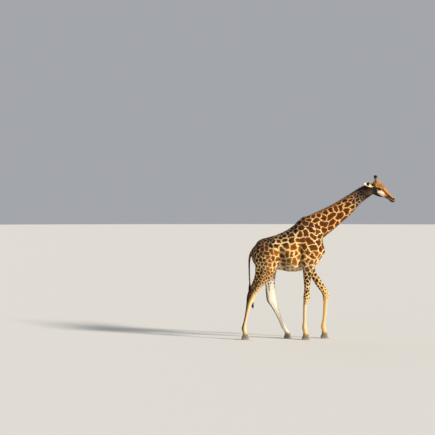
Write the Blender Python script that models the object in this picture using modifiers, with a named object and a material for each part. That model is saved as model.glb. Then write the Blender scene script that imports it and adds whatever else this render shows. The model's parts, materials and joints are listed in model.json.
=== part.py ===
"""A walking giraffe, life size, as a still museum model.

Metres, +Z up. The animal faces +X and its left side is +Y. The soles stand on
z = 0 and the middle of its box is over the origin. The flesh is lofted from
named section tables, fused and faired as one body, and then parted with thin
cuts into the parts that a person would name.
"""
import math

import bmesh
import bpy
import numpy as np
from mathutils import Matrix, Vector

# Driving dimensions, in metres and degrees.
GAP = 0.0005            # between neighbouring parts
FUSE_SIZE = 0.013       # cell of the remesh that fuses the lofts
FAIR_STEPS = 5          # rounds of smoothing after the fuse
BODY_TRIANGLES = 4150   # of the whole fused body, before it is parted
RING_POINTS = 28        # points round each section of the flesh
SPAN_STEPS = 4          # rings to each span of a section table
SLIM_POINTS = 10        # points round the tail and the horns
HOOF_POINTS = 12
MANE_POINTS = 8
MASS_SEGMENTS = 24      # of a ball fused into the flesh
EYE_SEGMENTS = 12
EAR_ROWS = 10           # of the ear's sheet, from foot to tip
EAR_COLUMNS = 7         # from edge to edge
CUTTER_SIZE = 6.0       # of the cubes that part the body
SHARP_EDGE = 50         # degrees past which an edge is shaded sharp

NECK_ROOT = Vector((-0.05, 0.0, 2.50))
NECK_RISE = 35.5        # slope of the neck's axis
NECK_START = 0.06       # where it leaves the trunk, along its axis
NECK_END = 1.37         # where it meets the head
HEAD_ROOT = Vector((1.28, 0.0, 3.443))
HEAD_DROP = 35.0        # slope of the head's axis below the level
HEAD_TURN = -13.0       # the nose turns a little to the animal's right

CORONET = 0.104         # level where the hair ends and the hooves begin
TOE_SPREAD = 0.034      # from the middle of a foot to the middle of a toe
TOE_HALF_WIDTH = 0.0315
EYE_RADIUS = 0.0225
EYE_PLACE = (0.100, 0.095, 0.037)    # along the head, out, up

SKIN_TAN = (0.62, 0.38, 0.17)
SKIN_DARK = (0.16, 0.065, 0.03)
SKIN_PALE = (0.75, 0.64, 0.47)
HAIR_DARK = (0.03, 0.018, 0.012)
MANE_BROWN = (0.22, 0.09, 0.04)
HORN_GREY = (0.12, 0.10, 0.085)
EYE_BLACK = (0.015, 0.01, 0.008)

# Section tables. Each row is a station along the form, the low and the high
# edge of its section there, the side shift of its middle and its half width.
TRUNK = (
    (-1.520, 1.900, 2.010, 0, 0.050),
    (-1.490, 1.760, 2.080, 0, 0.110),
    (-1.420, 1.640, 2.150, 0, 0.165),
    (-1.300, 1.560, 2.262, 0, 0.212),
    (-1.150, 1.545, 2.325, 0, 0.250),
    (-1.000, 1.560, 2.367, 0, 0.280),
    (-0.850, 1.540, 2.424, 0, 0.312),
    (-0.700, 1.510, 2.500, 0, 0.330),
    (-0.550, 1.505, 2.605, 0, 0.330),
    (-0.430, 1.520, 2.722, 0, 0.315),
    (-0.330, 1.545, 2.778, 0, 0.300),
    (-0.200, 1.570, 2.745, 0, 0.285),
    (-0.080, 1.610, 2.640, 0, 0.255),
    (0.020, 1.740, 2.480, 0, 0.200),
    (0.090, 1.860, 2.270, 0, 0.140),
    (0.135, 1.925, 2.100, 0, 0.085),
    (0.158, 1.970, 2.010, 0, 0.030),
)
NECK = (
    (-0.250, -0.340, 0.300, 0, 0.215),
    (-0.100, -0.310, 0.372, 0, 0.205),
    (0.000, -0.268, 0.352, 0, 0.182),
    (0.200, -0.250, 0.292, 0, 0.158),
    (0.350, -0.243, 0.258, 0, 0.145),
    (0.600, -0.212, 0.213, 0, 0.128),
    (0.800, -0.195, 0.190, 0, 0.116),
    (0.950, -0.165, 0.178, 0, 0.108),
    (1.060, -0.138, 0.171, 0, 0.101),
    (1.200, -0.114, 0.164, 0, 0.094),
    (1.320, -0.108, 0.154, 0, 0.088),
    (1.440, -0.106, 0.134, 0, 0.083),
    (1.540, -0.085, 0.100, 0, 0.070),
)
HEAD = (
    (-0.130, -0.060, 0.070, 0, 0.060),
    (-0.090, -0.110, 0.108, 0, 0.080),
    (-0.040, -0.135, 0.150, 0, 0.091),
    (0.020, -0.146, 0.181, 0, 0.096),
    (0.090, -0.141, 0.172, 0, 0.098),
    (0.150, -0.130, 0.154, 0, 0.092),
    (0.210, -0.110, 0.131, 0, 0.079),
    (0.310, -0.066, 0.101, 0, 0.060),
    (0.400, -0.050, 0.083, 0, 0.052),
    (0.470, -0.052, 0.068, 0, 0.054),
    (0.520, -0.048, 0.052, 0, 0.049),
    (0.548, -0.030, 0.032, 0, 0.035),
    (0.560, -0.008, 0.014, 0, 0.014),
)
FORELEG_STRAIGHT = (
    (1.980, -0.360, -0.020, 0.175, 0.080),
    (1.800, -0.365, -0.070, 0.192, 0.088),
    (1.680, -0.370, -0.115, 0.194, 0.087),
    (1.560, -0.365, -0.145, 0.186, 0.079),
    (1.400, -0.350, -0.170, 0.174, 0.067),
    (1.200, -0.334, -0.200, 0.162, 0.057),
    (1.080, -0.336, -0.205, 0.156, 0.055),
    (1.000, -0.350, -0.197, 0.153, 0.062),
    (0.930, -0.351, -0.202, 0.152, 0.061),
    (0.860, -0.349, -0.232, 0.151, 0.050),
    (0.780, -0.354, -0.270, 0.150, 0.040),
    (0.620, -0.358, -0.282, 0.150, 0.036),
    (0.440, -0.360, -0.283, 0.150, 0.036),
    (0.340, -0.370, -0.279, 0.150, 0.042),
    (0.260, -0.380, -0.262, 0.150, 0.051),
    (0.190, -0.360, -0.249, 0.150, 0.048),
    (0.130, -0.356, -0.228, 0.150, 0.057),
    (0.060, -0.362, -0.205, 0.150, 0.062),
)
FORELEG_REACHING = (
    (1.980, -0.300, -0.020, 0.175, 0.080),
    (1.800, -0.300, -0.040, 0.192, 0.088),
    (1.660, -0.270, -0.045, 0.194, 0.086),
    (1.520, -0.210, -0.036, 0.184, 0.076),
    (1.400, -0.150, 0.035, 0.174, 0.067),
    (1.250, -0.065, 0.130, 0.163, 0.058),
    (1.120, 0.030, 0.210, 0.157, 0.055),
    (1.030, 0.092, 0.248, 0.153, 0.061),
    (0.960, 0.110, 0.255, 0.152, 0.061),
    (0.880, 0.121, 0.240, 0.151, 0.050),
    (0.800, 0.126, 0.222, 0.150, 0.040),
    (0.620, 0.122, 0.206, 0.150, 0.036),
    (0.440, 0.107, 0.190, 0.150, 0.036),
    (0.340, 0.087, 0.184, 0.150, 0.042),
    (0.260, 0.071, 0.189, 0.150, 0.051),
    (0.190, 0.089, 0.200, 0.150, 0.048),
    (0.130, 0.092, 0.222, 0.150, 0.057),
    (0.060, 0.086, 0.245, 0.150, 0.062),
)
HINDLEG_TRAILING = (
    (2.100, -1.380, -1.060, 0.110, 0.075),
    (1.950, -1.448, -1.000, 0.146, 0.098),
    (1.800, -1.446, -0.955, 0.172, 0.114),
    (1.680, -1.440, -0.945, 0.176, 0.110),
    (1.560, -1.440, -0.980, 0.174, 0.098),
    (1.440, -1.455, -1.045, 0.166, 0.084),
    (1.320, -1.495, -1.155, 0.155, 0.071),
    (1.200, -1.545, -1.268, 0.145, 0.058),
    (1.100, -1.588, -1.342, 0.140, 0.048),
    (1.020, -1.620, -1.395, 0.138, 0.047),
    (0.950, -1.633, -1.432, 0.138, 0.050),
    (0.870, -1.637, -1.470, 0.138, 0.048),
    (0.780, -1.643, -1.515, 0.140, 0.042),
    (0.660, -1.657, -1.562, 0.142, 0.037),
    (0.500, -1.684, -1.604, 0.145, 0.035),
    (0.380, -1.712, -1.630, 0.147, 0.038),
    (0.290, -1.740, -1.638, 0.148, 0.047),
    (0.230, -1.744, -1.632, 0.149, 0.049),
    (0.170, -1.726, -1.616, 0.150, 0.047),
    (0.120, -1.722, -1.594, 0.150, 0.055),
    (0.060, -1.730, -1.570, 0.150, 0.061),
)
HINDLEG_REACHING = (
    (2.100, -1.350, -1.020, 0.110, 0.075),
    (1.950, -1.360, -0.960, 0.146, 0.098),
    (1.800, -1.345, -0.932, 0.172, 0.114),
    (1.680, -1.325, -0.926, 0.176, 0.110),
    (1.560, -1.298, -0.936, 0.174, 0.098),
    (1.440, -1.255, -0.955, 0.166, 0.084),
    (1.320, -1.216, -0.972, 0.155, 0.072),
    (1.200, -1.198, -0.974, 0.147, 0.060),
    (1.080, -1.191, -0.963, 0.142, 0.050),
    (0.980, -1.182, -0.952, 0.139, 0.047),
    (0.900, -1.172, -0.944, 0.138, 0.050),
    (0.830, -1.148, -0.930, 0.138, 0.049),
    (0.750, -1.088, -0.912, 0.139, 0.043),
    (0.650, -1.022, -0.884, 0.141, 0.037),
    (0.500, -0.938, -0.832, 0.144, 0.035),
    (0.380, -0.880, -0.778, 0.146, 0.038),
    (0.300, -0.852, -0.742, 0.148, 0.047),
    (0.240, -0.826, -0.712, 0.149, 0.049),
    (0.180, -0.780, -0.670, 0.150, 0.047),
    (0.120, -0.756, -0.628, 0.150, 0.055),
    (0.060, -0.752, -0.592, 0.150, 0.061),
)
TAIL = (
    (2.050, -1.500, -1.440, 0, 0.040),
    (1.960, -1.555, -1.470, 0, 0.036),
    (1.860, -1.582, -1.526, 0, 0.027),
    (1.700, -1.590, -1.547, 0, 0.020),
    (1.450, -1.582, -1.545, 0, 0.017),
    (1.250, -1.572, -1.538, 0, 0.017),
)
TAIL_TUFT = (
    (1.250, -1.572, -1.538, 0, 0.017),
    (1.180, -1.588, -1.520, 0, 0.032),
    (1.050, -1.590, -1.500, 0, 0.044),
    (0.900, -1.568, -1.475, 0, 0.046),
    (0.780, -1.535, -1.462, 0, 0.036),
    (0.700, -1.505, -1.468, 0, 0.018),
    (0.672, -1.490, -1.476, 0, 0.007),
)
# A hoof's plan at three levels, from the heel to the toe of the sole.
HOOF = (
    (0.000, 0.000, 0.190, 0, 1.00),
    (0.030, 0.000, 0.178, 0, 1.00),
    (0.070, 0.008, 0.156, 0, 0.96),
    (CORONET, 0.018, 0.138, 0, 0.88),
)
# Muscles on both sides: the middle, the half sizes along, across and through,
# the lean of the long one towards the rump and its tuck towards the spine.
MUSCLES = {
    "shoulder_blade": ((-0.215, 0.194, 2.250), (0.35, 0.150, 0.058), 23.0, 14.0),
    "shoulder_point": ((-0.040, 0.135, 2.010), (0.15, 0.110, 0.075), 15.0, 0.0),
    "upper_arm": ((-0.215, 0.200, 1.870), (0.20, 0.165, 0.066), -25.0, 0.0),
    "haunch": ((-1.150, 0.120, 2.000), (0.30, 0.23, 0.090), 40.0, 22.0),
    "thigh_muscle": ((-1.200, 0.150, 1.830), (0.30, 0.215, 0.105), 0.0, 8.0),
}
# Places on the head, along it, out from its middle and up.
BROW = ((0.085, 0.0, 0.155), (0.075, 0.045, 0.030))
EYE_RIM = ((0.098, 0.072, 0.040), (0.056, 0.036, 0.047))
OSSICONE_FOOT = (-0.012, 0.044, 0.120)
OSSICONE_TIP = (-0.150, 0.066, 0.232)
OSSICONE = (
    (0.00, -0.044, 0.044, 0, 0.038),
    (0.30, -0.034, 0.034, 0, 0.030),
    (0.58, -0.024, 0.024, 0, 0.022),
    (0.80, -0.025, 0.025, 0, 0.024),
    (0.93, -0.023, 0.023, 0, 0.022),
    (0.99, -0.012, 0.012, 0, 0.012),
)
EAR_FOOT = (-0.042, 0.066, 0.046)
EAR_TIP = (-0.228, 0.190, -0.056)
EAR_HALF_WIDTH = 0.059
EAR_THICKNESS = 0.009
EAR_SINK = 0.35         # share of its radius by which the sheet's middle lies behind the axis
EAR_CURL = (118.0, 56.0)     # half opening of the sheet's arc at the foot and at the tip
# The crest of the mane, along the neck's axis.
MANE = (
    (-0.10, 0.330, 0.384, 0, 0.008),
    (0.00, 0.300, 0.372, 0, 0.012),
    (0.12, 0.270, 0.345, 0, 0.014),
    (0.35, 0.222, 0.300, 0, 0.016),
    (0.60, 0.178, 0.258, 0, 0.016),
    (0.80, 0.155, 0.238, 0, 0.016),
    (1.06, 0.138, 0.222, 0, 0.016),
    (1.20, 0.130, 0.216, 0, 0.016),
    (1.35, 0.116, 0.208, 0, 0.016),
    (1.46, 0.095, 0.188, 0, 0.015),
    (1.53, 0.070, 0.150, 0, 0.012),
)
# How each form squares up, below and above its widest level, and where that
# level lies as a share of its height.
TRUNK_SHAPE = (0.43, (2.3, 1.75))
NECK_SHAPE = (0.44, (2.1, 1.8))
HEAD_SHAPE = (0.54, (1.9, 2.3))
HOOF_SHAPE = (0.42, (3.2, 2.1))
MANE_SHAPE = (0.5, (3.0, 2.2))
ROUND_SHAPE = (0.5, (2.0, 2.0))


def neck_frame():
    """Origin, along, up and side of the neck."""
    rise = math.radians(NECK_RISE)
    along = Vector((math.cos(rise), 0.0, math.sin(rise)))
    up = Vector((-math.sin(rise), 0.0, math.cos(rise)))
    return NECK_ROOT, along, up, Vector((0.0, 1.0, 0.0))


def head_frame():
    """Origin, along, up and side of the head, turned about the vertical."""
    drop = math.radians(HEAD_DROP)
    turn = Matrix.Rotation(math.radians(HEAD_TURN), 3, "Z")
    along = turn @ Vector((math.cos(drop), 0.0, -math.sin(drop)))
    up = turn @ Vector((math.sin(drop), 0.0, math.cos(drop)))
    return HEAD_ROOT, along, up, turn @ Vector((0.0, 1.0, 0.0))


ZERO = Vector((0.0, 0.0, 0.0))
LEVEL_FRAME = (ZERO, Vector((1, 0, 0)), Vector((0, 0, 1)), Vector((0, 1, 0)))
UPRIGHT_FRAME = (ZERO, Vector((0, 0, 1)), Vector((1, 0, 0)), Vector((0, 1, 0)))


def on_head(place):
    """World point of a place given along, out and up from the head's root."""
    origin, along, up, side = head_frame()
    return origin + along * place[0] + side * place[1] + up * place[2]


def faired(rows, steps):
    """A Catmull-Rom spline through the rows, with steps to each span."""
    rows = np.array(rows, float)
    ends = np.vstack([2 * rows[0] - rows[1], rows, 2 * rows[-1] - rows[-2]])
    t = (np.arange(steps) / steps)[:, None]
    spans = []
    for a, b, c, d in zip(ends, ends[1:], ends[2:], ends[3:]):
        spans.append(
            b
            + 0.5 * t * (c - a)
            + t**2 * (a - 2.5 * b + 2 * c - 0.5 * d)
            + t**3 * (1.5 * b - 0.5 * a - 1.5 * c + 0.5 * d)
        )
    return np.vstack([*spans, rows[-1:]])


def section(row, points, widest, powers):
    """Side and depth of a section: two half superellipses that share their width."""
    _, low, high, shift, half_width = row
    angle = np.arange(points) * 2 * math.pi / points
    middle = low + widest * (high - low)
    depth = np.where(np.sin(angle) > 0, high - middle, middle - low)
    power = np.where(np.sin(angle) > 0, 2 / powers[1], 2 / powers[0])
    across = np.sign(np.cos(angle)) * np.abs(np.cos(angle)) ** power
    rise = np.sign(np.sin(angle)) * np.abs(np.sin(angle)) ** power
    return shift + half_width * across, middle + depth * rise


def add_object(name, points, faces):
    mesh = bpy.data.meshes.new(name)
    mesh.from_pydata([tuple(p) for p in points], [], faces)
    body = bmesh.new()
    body.from_mesh(mesh)
    bmesh.ops.recalc_face_normals(body, faces=body.faces[:])
    body.to_mesh(mesh)
    body.free()
    thing = bpy.data.objects.new(name, mesh)
    PARTS.objects.link(thing)
    return thing


def loft(name, rows, frame, shape=ROUND_SHAPE, points=RING_POINTS, steps=SPAN_STEPS):
    """A closed skin over the sections of a table, with flat ends."""
    origin, along, up, side = (np.array(v) for v in frame)
    widest, powers = shape
    rings = []
    for row in faired(rows, steps):
        across, depth = section(row, points, widest, powers)
        rings.append(origin + along * row[0] + np.outer(across, side) + np.outer(depth, up))
    ring = np.arange(points)
    nearer = ring[:, None] + points * np.arange(len(rings) - 1)
    faces = [
        (int(a), int(b), int(b + points), int(a + points))
        for a, b in zip(nearer.T.ravel(), np.roll(nearer, -1, axis=0).T.ravel())
    ]
    faces.append(tuple(range(points)))
    faces.append(tuple(range((len(rings) - 1) * points, len(rings) * points)))
    return add_object(name, np.vstack(rings), faces)


def sided(rows, side):
    """The table of a limb of the left side (1) or the right side (-1)."""
    return [(z, low, high, side * shift, half) for z, low, high, shift, half in rows]


def ellipsoid(name, middle, half_sizes, turn, segments=MASS_SEGMENTS):
    """An ellipsoid whose axes are turned by a 3 x 3 matrix."""
    body = bmesh.new()
    bmesh.ops.create_uvsphere(body, u_segments=segments, v_segments=segments * 2 // 3, radius=1.0)
    size = Matrix.Diagonal((*half_sizes, 1.0))
    bmesh.ops.transform(
        body, matrix=Matrix.Translation(middle) @ turn.to_4x4() @ size, verts=body.verts[:]
    )
    mesh = bpy.data.meshes.new(name)
    body.to_mesh(mesh)
    body.free()
    thing = bpy.data.objects.new(name, mesh)
    PARTS.objects.link(thing)
    return thing


def muscles():
    """The muscle masses that stand out from the trunk, left and right."""
    made = []
    for name, (middle, (long, across, through), lean, tuck) in MUSCLES.items():
        for side in (1, -1):
            turn = Matrix.Rotation(math.radians(side * tuck), 3, "X")
            turn = turn @ Matrix.Rotation(math.radians(-lean), 3, "Y")
            place = (middle[0], side * middle[1], middle[2])
            made.append(ellipsoid(f"{name}_{side}", place, (across, through, long), turn))
    return made


def head_masses():
    """The bump of the brow and the rims round the eyes."""
    _, along, up, side = head_frame()
    turn = Matrix((along, side, up)).transposed()
    made = [ellipsoid("brow", on_head(BROW[0]), BROW[1], turn)]
    (u, w, v), half_sizes = EYE_RIM
    for out in (1, -1):
        made.append(ellipsoid(f"eye_rim_{out}", on_head((u, out * w, v)), half_sizes, turn))
    return made


def settle(thing):
    """Replaces an object's mesh by what its modifiers make of it."""
    graph = bpy.context.evaluated_depsgraph_get()
    mesh = bpy.data.meshes.new_from_object(thing.evaluated_get(graph))
    thing.modifiers.clear()
    old = thing.data
    thing.data = mesh
    bpy.data.meshes.remove(old)


def joined(name, things):
    """One object of all the meshes, still overlapping."""
    body = bmesh.new()
    for thing in things:
        body.from_mesh(thing.data)
        mesh = thing.data
        bpy.data.objects.remove(thing)
        bpy.data.meshes.remove(mesh)
    mesh = bpy.data.meshes.new(name)
    body.to_mesh(mesh)
    body.free()
    whole = bpy.data.objects.new(name, mesh)
    PARTS.objects.link(whole)
    return whole


def fused(name, things):
    """Overlapping lofts as one fair body with few faces."""
    whole = joined(name, things)
    fuse = whole.modifiers.new("fuse", "REMESH")
    fuse.mode = "VOXEL"
    fuse.voxel_size = FUSE_SIZE
    fair = whole.modifiers.new("fair", "SMOOTH")
    fair.factor = 0.5
    fair.iterations = FAIR_STEPS
    settle(whole)
    triangles = sum(len(face.vertices) - 2 for face in whole.data.polygons)
    thin = whole.modifiers.new("thin", "DECIMATE")
    thin.ratio = BODY_TRIANGLES / triangles
    settle(whole)
    return whole


def copied(thing, name):
    twin = bpy.data.objects.new(name, thing.data.copy())
    PARTS.objects.link(twin)
    return twin


def cut(thing, cutter, operation):
    """Applies one exact Boolean to the object."""
    knife = thing.modifiers.new("cut", "BOOLEAN")
    knife.operation = operation
    knife.object = cutter
    knife.solver = "EXACT"
    settle(thing)


def block(name, corners, grow):
    """A cutter: the convex hull of the corners, grown outwards by a little."""
    middle = sum(corners, ZERO) / len(corners)
    body = bmesh.new()
    for corner in corners:
        away = corner - middle
        body.verts.new(corner + Vector([math.copysign(grow, value) for value in away]))
    bmesh.ops.convex_hull(body, input=body.verts[:])
    bmesh.ops.recalc_face_normals(body, faces=body.faces[:])
    mesh = bpy.data.meshes.new(name)
    body.to_mesh(mesh)
    body.free()
    thing = bpy.data.objects.new(name, mesh)
    CUTTERS.objects.link(thing)
    thing.hide_render = True
    thing.display_type = "WIRE"
    return thing


def limb_corners(side, roof_levels, roof_ends, foot_ends):
    """A block round one leg, with a roof that rises from its inner to its outer side."""
    sides = (BLOCK_INNER, BLOCK_OUTER)
    roof = zip(sides, roof_levels)
    corners = [Vector((x, side * y, z)) for y, z in roof for x in roof_ends]
    corners += [Vector((x, side * y, BLOCK_FOOT)) for x in foot_ends for y in sides]
    return corners


def half_space(name, point, normal):
    """A cutter: a large cube with one face through the point, on the side away from the normal."""
    body = bmesh.new()
    bmesh.ops.create_cube(body, size=CUTTER_SIZE)
    turn = Vector(normal).to_track_quat("Z", "Y").to_matrix().to_4x4()
    lower = Matrix.Translation((0, 0, -CUTTER_SIZE / 2))
    bmesh.ops.transform(
        body, matrix=Matrix.Translation(point) @ turn @ lower, verts=body.verts[:]
    )
    mesh = bpy.data.meshes.new(name)
    body.to_mesh(mesh)
    body.free()
    thing = bpy.data.objects.new(name, mesh)
    CUTTERS.objects.link(thing)
    thing.hide_render = True
    thing.display_type = "WIRE"
    return thing


def parted(thing, name, point, normal):
    """Parts an object at a plane. What lies against the normal stays in it, and the rest is returned."""
    normal = Vector(normal).normalized()
    rest = copied(thing, name)
    near_side = half_space(f"cut_{name}_near", point - normal * GAP / 2, normal)
    far_side = half_space(f"cut_{name}_far", point + normal * GAP / 2, -normal)
    cut(thing, near_side, "INTERSECT")
    cut(rest, far_side, "INTERSECT")
    return rest


def finish(thing, colour, roughness=0.8):
    """Gives an object its own material and a smooth shade."""
    material = bpy.data.materials.new(thing.name)
    material.use_nodes = True
    shader = material.node_tree.nodes["Principled BSDF"]
    shader.inputs["Base Color"].default_value = (*colour, 1.0)
    shader.inputs["Roughness"].default_value = roughness
    shader.inputs["Metallic"].default_value = 0.0
    thing.data.materials.clear()
    thing.data.materials.append(material)
    thing.data.shade_smooth()
    thing.data.set_sharp_from_angle(angle=math.radians(SHARP_EDGE))


def make_body():
    """All the flesh but the ears and the tail, as one fused body."""
    forms = [
        loft("trunk_form", TRUNK, LEVEL_FRAME, TRUNK_SHAPE),
        loft("neck_form", NECK, neck_frame(), NECK_SHAPE),
        loft("head_form", HEAD, head_frame(), HEAD_SHAPE),
        loft("foreleg_right_form", sided(FORELEG_STRAIGHT, -1), UPRIGHT_FRAME),
        loft("foreleg_left_form", sided(FORELEG_REACHING, 1), UPRIGHT_FRAME),
        loft("hindleg_right_form", sided(HINDLEG_TRAILING, -1), UPRIGHT_FRAME),
        loft("hindleg_left_form", sided(HINDLEG_REACHING, 1), UPRIGHT_FRAME),
    ]
    return fused("body", forms + muscles() + head_masses())


# A block that takes a leg off the body: its inner and outer side and its foot.
BLOCK_INNER = 0.012
BLOCK_OUTER = 0.45
BLOCK_FOOT = -0.2
# For each leg: its side, the roof's levels at the block's inner and outer side,
# the roof's back and front, the foot's back and front, and the leg's cuts.
LEGS = {
    "foreleg_right": (-1, (1.475, 1.90), (-0.41, -0.06), (-0.60, 0.10), (1.075, 0.315)),
    "foreleg_left": (1, (1.475, 1.90), (-0.34, 0.05), (-0.25, 0.95), (1.090, 0.315)),
    "hindleg_right": (-1, (1.440, 2.10), (-1.62, -0.93), (-2.10, -1.00), (1.30, 1.015, 0.325)),
    "hindleg_left": (1, (1.440, 2.10), (-1.50, -0.90), (-1.45, -0.30), (1.30, 0.960, 0.330)),
}
LENGTHS_OF_LEG = {
    "foreleg": ("forearm", "cannon", "pastern"),
    "hindleg": ("thigh", "shank", "cannon", "pastern"),
}


def make_legs(body):
    """Takes the four legs off the body and parts each at its joints."""
    for leg, (side, roof_levels, roof_ends, foot_ends, levels) in LEGS.items():
        kind, hand = leg.split("_")
        corners = limb_corners(side, roof_levels, roof_ends, foot_ends)
        inner = block(f"cut_{leg}_inner", corners, 0.0)
        outer = block(f"cut_{leg}_outer", corners, GAP)
        limb = copied(body, leg)
        cut(limb, inner, "INTERSECT")
        cut(body, outer, "DIFFERENCE")
        down = Vector((0, 0, -1))
        names = LENGTHS_OF_LEG[kind]
        piece = limb
        for name, level in zip(names, levels):
            below = parted(piece, f"{leg}_rest", Vector((0, 0, level)), down)
            piece.name = f"{kind}_{name}_{hand}"
            finish(piece, SKIN_TAN if name in ("forearm", "thigh") else SKIN_PALE)
            piece = below
        above_hoof = half_space(f"cut_{leg}_sole", Vector((0, 0, CORONET + GAP)), (0, 0, -1))
        cut(piece, above_hoof, "INTERSECT")
        piece.name = f"{kind}_{names[-1]}_{hand}"
        finish(piece, SKIN_PALE)


# Where each foot's heel is, and the side shift of the foot's middle.
HEELS = {
    "foreleg_right": (-0.378, -0.150),
    "foreleg_left": (0.070, 0.150),
    "hindleg_right": (-1.748, -0.150),
    "hindleg_left": (-0.770, 0.150),
}


def make_hooves():
    """Two toes to each foot, on flat soles."""
    for leg, (heel, y) in HEELS.items():
        kind, hand = leg.split("_")
        for toe, out in (("outer", 1), ("inner", -1)):
            shift = y + out * math.copysign(TOE_SPREAD, y)
            rows = [
                (z, heel + back, heel + front, shift, TOE_HALF_WIDTH * share)
                for z, back, front, _, share in HOOF
            ]
            name = f"hoof_{kind[:4]}_{hand}_{toe}"
            hoof = loft(name, rows, UPRIGHT_FRAME, HOOF_SHAPE, HOOF_POINTS, 1)
            finish(hoof, HORN_GREY, 0.55)


def make_tail(body):
    """The tail against the rump, and the tuft that hangs on from it."""
    tail = loft("tail", TAIL, UPRIGHT_FRAME, points=SLIM_POINTS, steps=2)
    cut(tail, body, "DIFFERENCE")
    keep_biggest(tail)
    shift(tail, Vector((-GAP * 3, 0, 0)))
    finish(tail, SKIN_DARK)
    tuft = loft("tail_tuft", TAIL_TUFT, UPRIGHT_FRAME, points=SLIM_POINTS, steps=2)
    shift(tuft, Vector((-GAP, 0, -GAP * 2)))
    finish(tuft, HAIR_DARK)


def keep_biggest(thing):
    """Drops the loose crumbs that a Boolean leaves."""
    body = bmesh.new()
    body.from_mesh(thing.data)
    left = set(body.verts)
    groups = []
    while left:
        front = [left.pop()]
        group = set(front)
        while front:
            near = {edge.other_vert(vert) for vert in front for edge in vert.link_edges}
            front = list(near - group)
            group |= near
        left -= group
        groups.append(group)
    groups.sort(key=len)
    bmesh.ops.delete(body, geom=[v for group in groups[:-1] for v in group], context="VERTS")
    body.to_mesh(thing.data)
    body.free()


def shift(thing, step):
    thing.data.transform(Matrix.Translation(step))


def make_mane(body):
    """A thin standing crest from the withers to the poll."""
    mane = loft("mane", MANE, neck_frame(), MANE_SHAPE, MANE_POINTS, 1)
    cut(mane, body, "DIFFERENCE")
    keep_biggest(mane)
    shift(mane, neck_frame()[2] * GAP * 3)
    finish(mane, MANE_BROWN)


def make_ossicones(body):
    """The two horns, bone under skin, with their dark round tips."""
    _, along, up, _ = head_frame()
    for hand, out in (("left", 1), ("right", -1)):
        foot = on_head((OSSICONE_FOOT[0], out * OSSICONE_FOOT[1], OSSICONE_FOOT[2]))
        tip = on_head((OSSICONE_TIP[0], out * OSSICONE_TIP[1], OSSICONE_TIP[2]))
        axis = tip - foot
        across = axis.cross(along).normalized()
        rows = [(share * axis.length, low, high, 0, half) for share, low, high, _, half in OSSICONE]
        frame = (foot, axis.normalized(), across.cross(axis).normalized(), across)
        horn = loft(f"ossicone_{hand}", rows, frame, points=SLIM_POINTS, steps=1)
        cut(horn, body, "DIFFERENCE")
        keep_biggest(horn)
        shift(horn, axis.normalized() * GAP)
        finish(horn, SKIN_DARK)


def ear_shape(share):
    """Radius and half opening of the sheet's arc at a share of the ear's length.

    The half width swells as a power of a sine, and the arc opens towards the tip.
    """
    swell = np.sin(math.pi * (0.10 + 0.90 * share) ** 0.85)
    leaf = EAR_HALF_WIDTH * (swell**0.75 + 0.04)
    at_foot, at_tip = EAR_CURL
    bend = np.radians(at_foot + (at_tip - at_foot) * share)
    return leaf / np.sin(np.minimum(bend, math.pi / 2)), bend


def make_ears(body):
    """Cupped leaves that point back and out."""
    for hand, out in (("left", 1), ("right", -1)):
        foot = on_head((EAR_FOOT[0], out * EAR_FOOT[1], EAR_FOOT[2]))
        tip = on_head((EAR_TIP[0], out * EAR_TIP[1], EAR_TIP[2]))
        axis = tip - foot
        along = axis.normalized()
        face = head_frame()[3] * out
        face = (face - along * face.dot(along)).normalized()
        across = along.cross(face)
        share, turn = np.meshgrid(
            np.linspace(0, 1, EAR_ROWS), np.linspace(-1, 1, EAR_COLUMNS), indexing="ij"
        )
        radius, bend = ear_shape(share)
        sideways = radius * np.sin(turn * bend)
        deep = radius * (1 - EAR_SINK - np.cos(turn * bend))
        grid = (
            np.array(foot)
            + (share * axis.length)[..., None] * np.array(along)
            + sideways[..., None] * np.array(across)
            + deep[..., None] * np.array(face)
        )
        rows, columns = share.shape
        corner = np.arange((rows - 1) * columns).reshape(rows - 1, columns)[:, :-1].ravel()
        faces = [(int(c), int(c + 1), int(c + columns + 1), int(c + columns)) for c in corner]
        ear = add_object(f"ear_{hand}", grid.reshape(-1, 3), faces)
        wall = ear.modifiers.new("wall", "SOLIDIFY")
        wall.thickness = EAR_THICKNESS
        wall.offset = 0.0
        settle(ear)
        cut(ear, body, "DIFFERENCE")
        keep_biggest(ear)
        shift(ear, (along + face).normalized() * GAP)
        finish(ear, SKIN_PALE)


def make_eyes(body):
    """A ball in a socket on each side of the head."""
    for hand, out in (("left", 1), ("right", -1)):
        place = on_head((EYE_PLACE[0], out * EYE_PLACE[1], EYE_PLACE[2]))
        turn = Matrix.Identity(3)
        socket_size = EYE_RADIUS + GAP
        socket = ellipsoid(f"cut_eye_{hand}", place, (socket_size,) * 3, turn, EYE_SEGMENTS)
        PARTS.objects.unlink(socket)
        CUTTERS.objects.link(socket)
        socket.hide_render = True
        socket.display_type = "WIRE"
        cut(body, socket, "DIFFERENCE")
        eye = ellipsoid(f"eye_{hand}", place, (EYE_RADIUS,) * 3, turn, EYE_SEGMENTS)
        finish(eye, EYE_BLACK, 0.15)


for leftover in list(bpy.data.objects):
    bpy.data.objects.remove(leftover)
PARTS = bpy.data.collections.new("giraffe")
CUTTERS = bpy.data.collections.new("cutters")
bpy.context.scene.collection.children.link(PARTS)
bpy.context.scene.collection.children.link(CUTTERS)

trunk = make_body()
make_eyes(trunk)
make_ears(trunk)
make_ossicones(trunk)
make_mane(trunk)
make_tail(trunk)
make_hooves()
make_legs(trunk)
_, neck_along, _, _ = neck_frame()
neck = parted(trunk, "neck", NECK_ROOT + neck_along * NECK_START, neck_along)
head = parted(neck, "head", NECK_ROOT + neck_along * NECK_END, neck_along)
trunk.name = "trunk"
for flesh in (trunk, neck, head):
    finish(flesh, SKIN_TAN)
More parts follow.
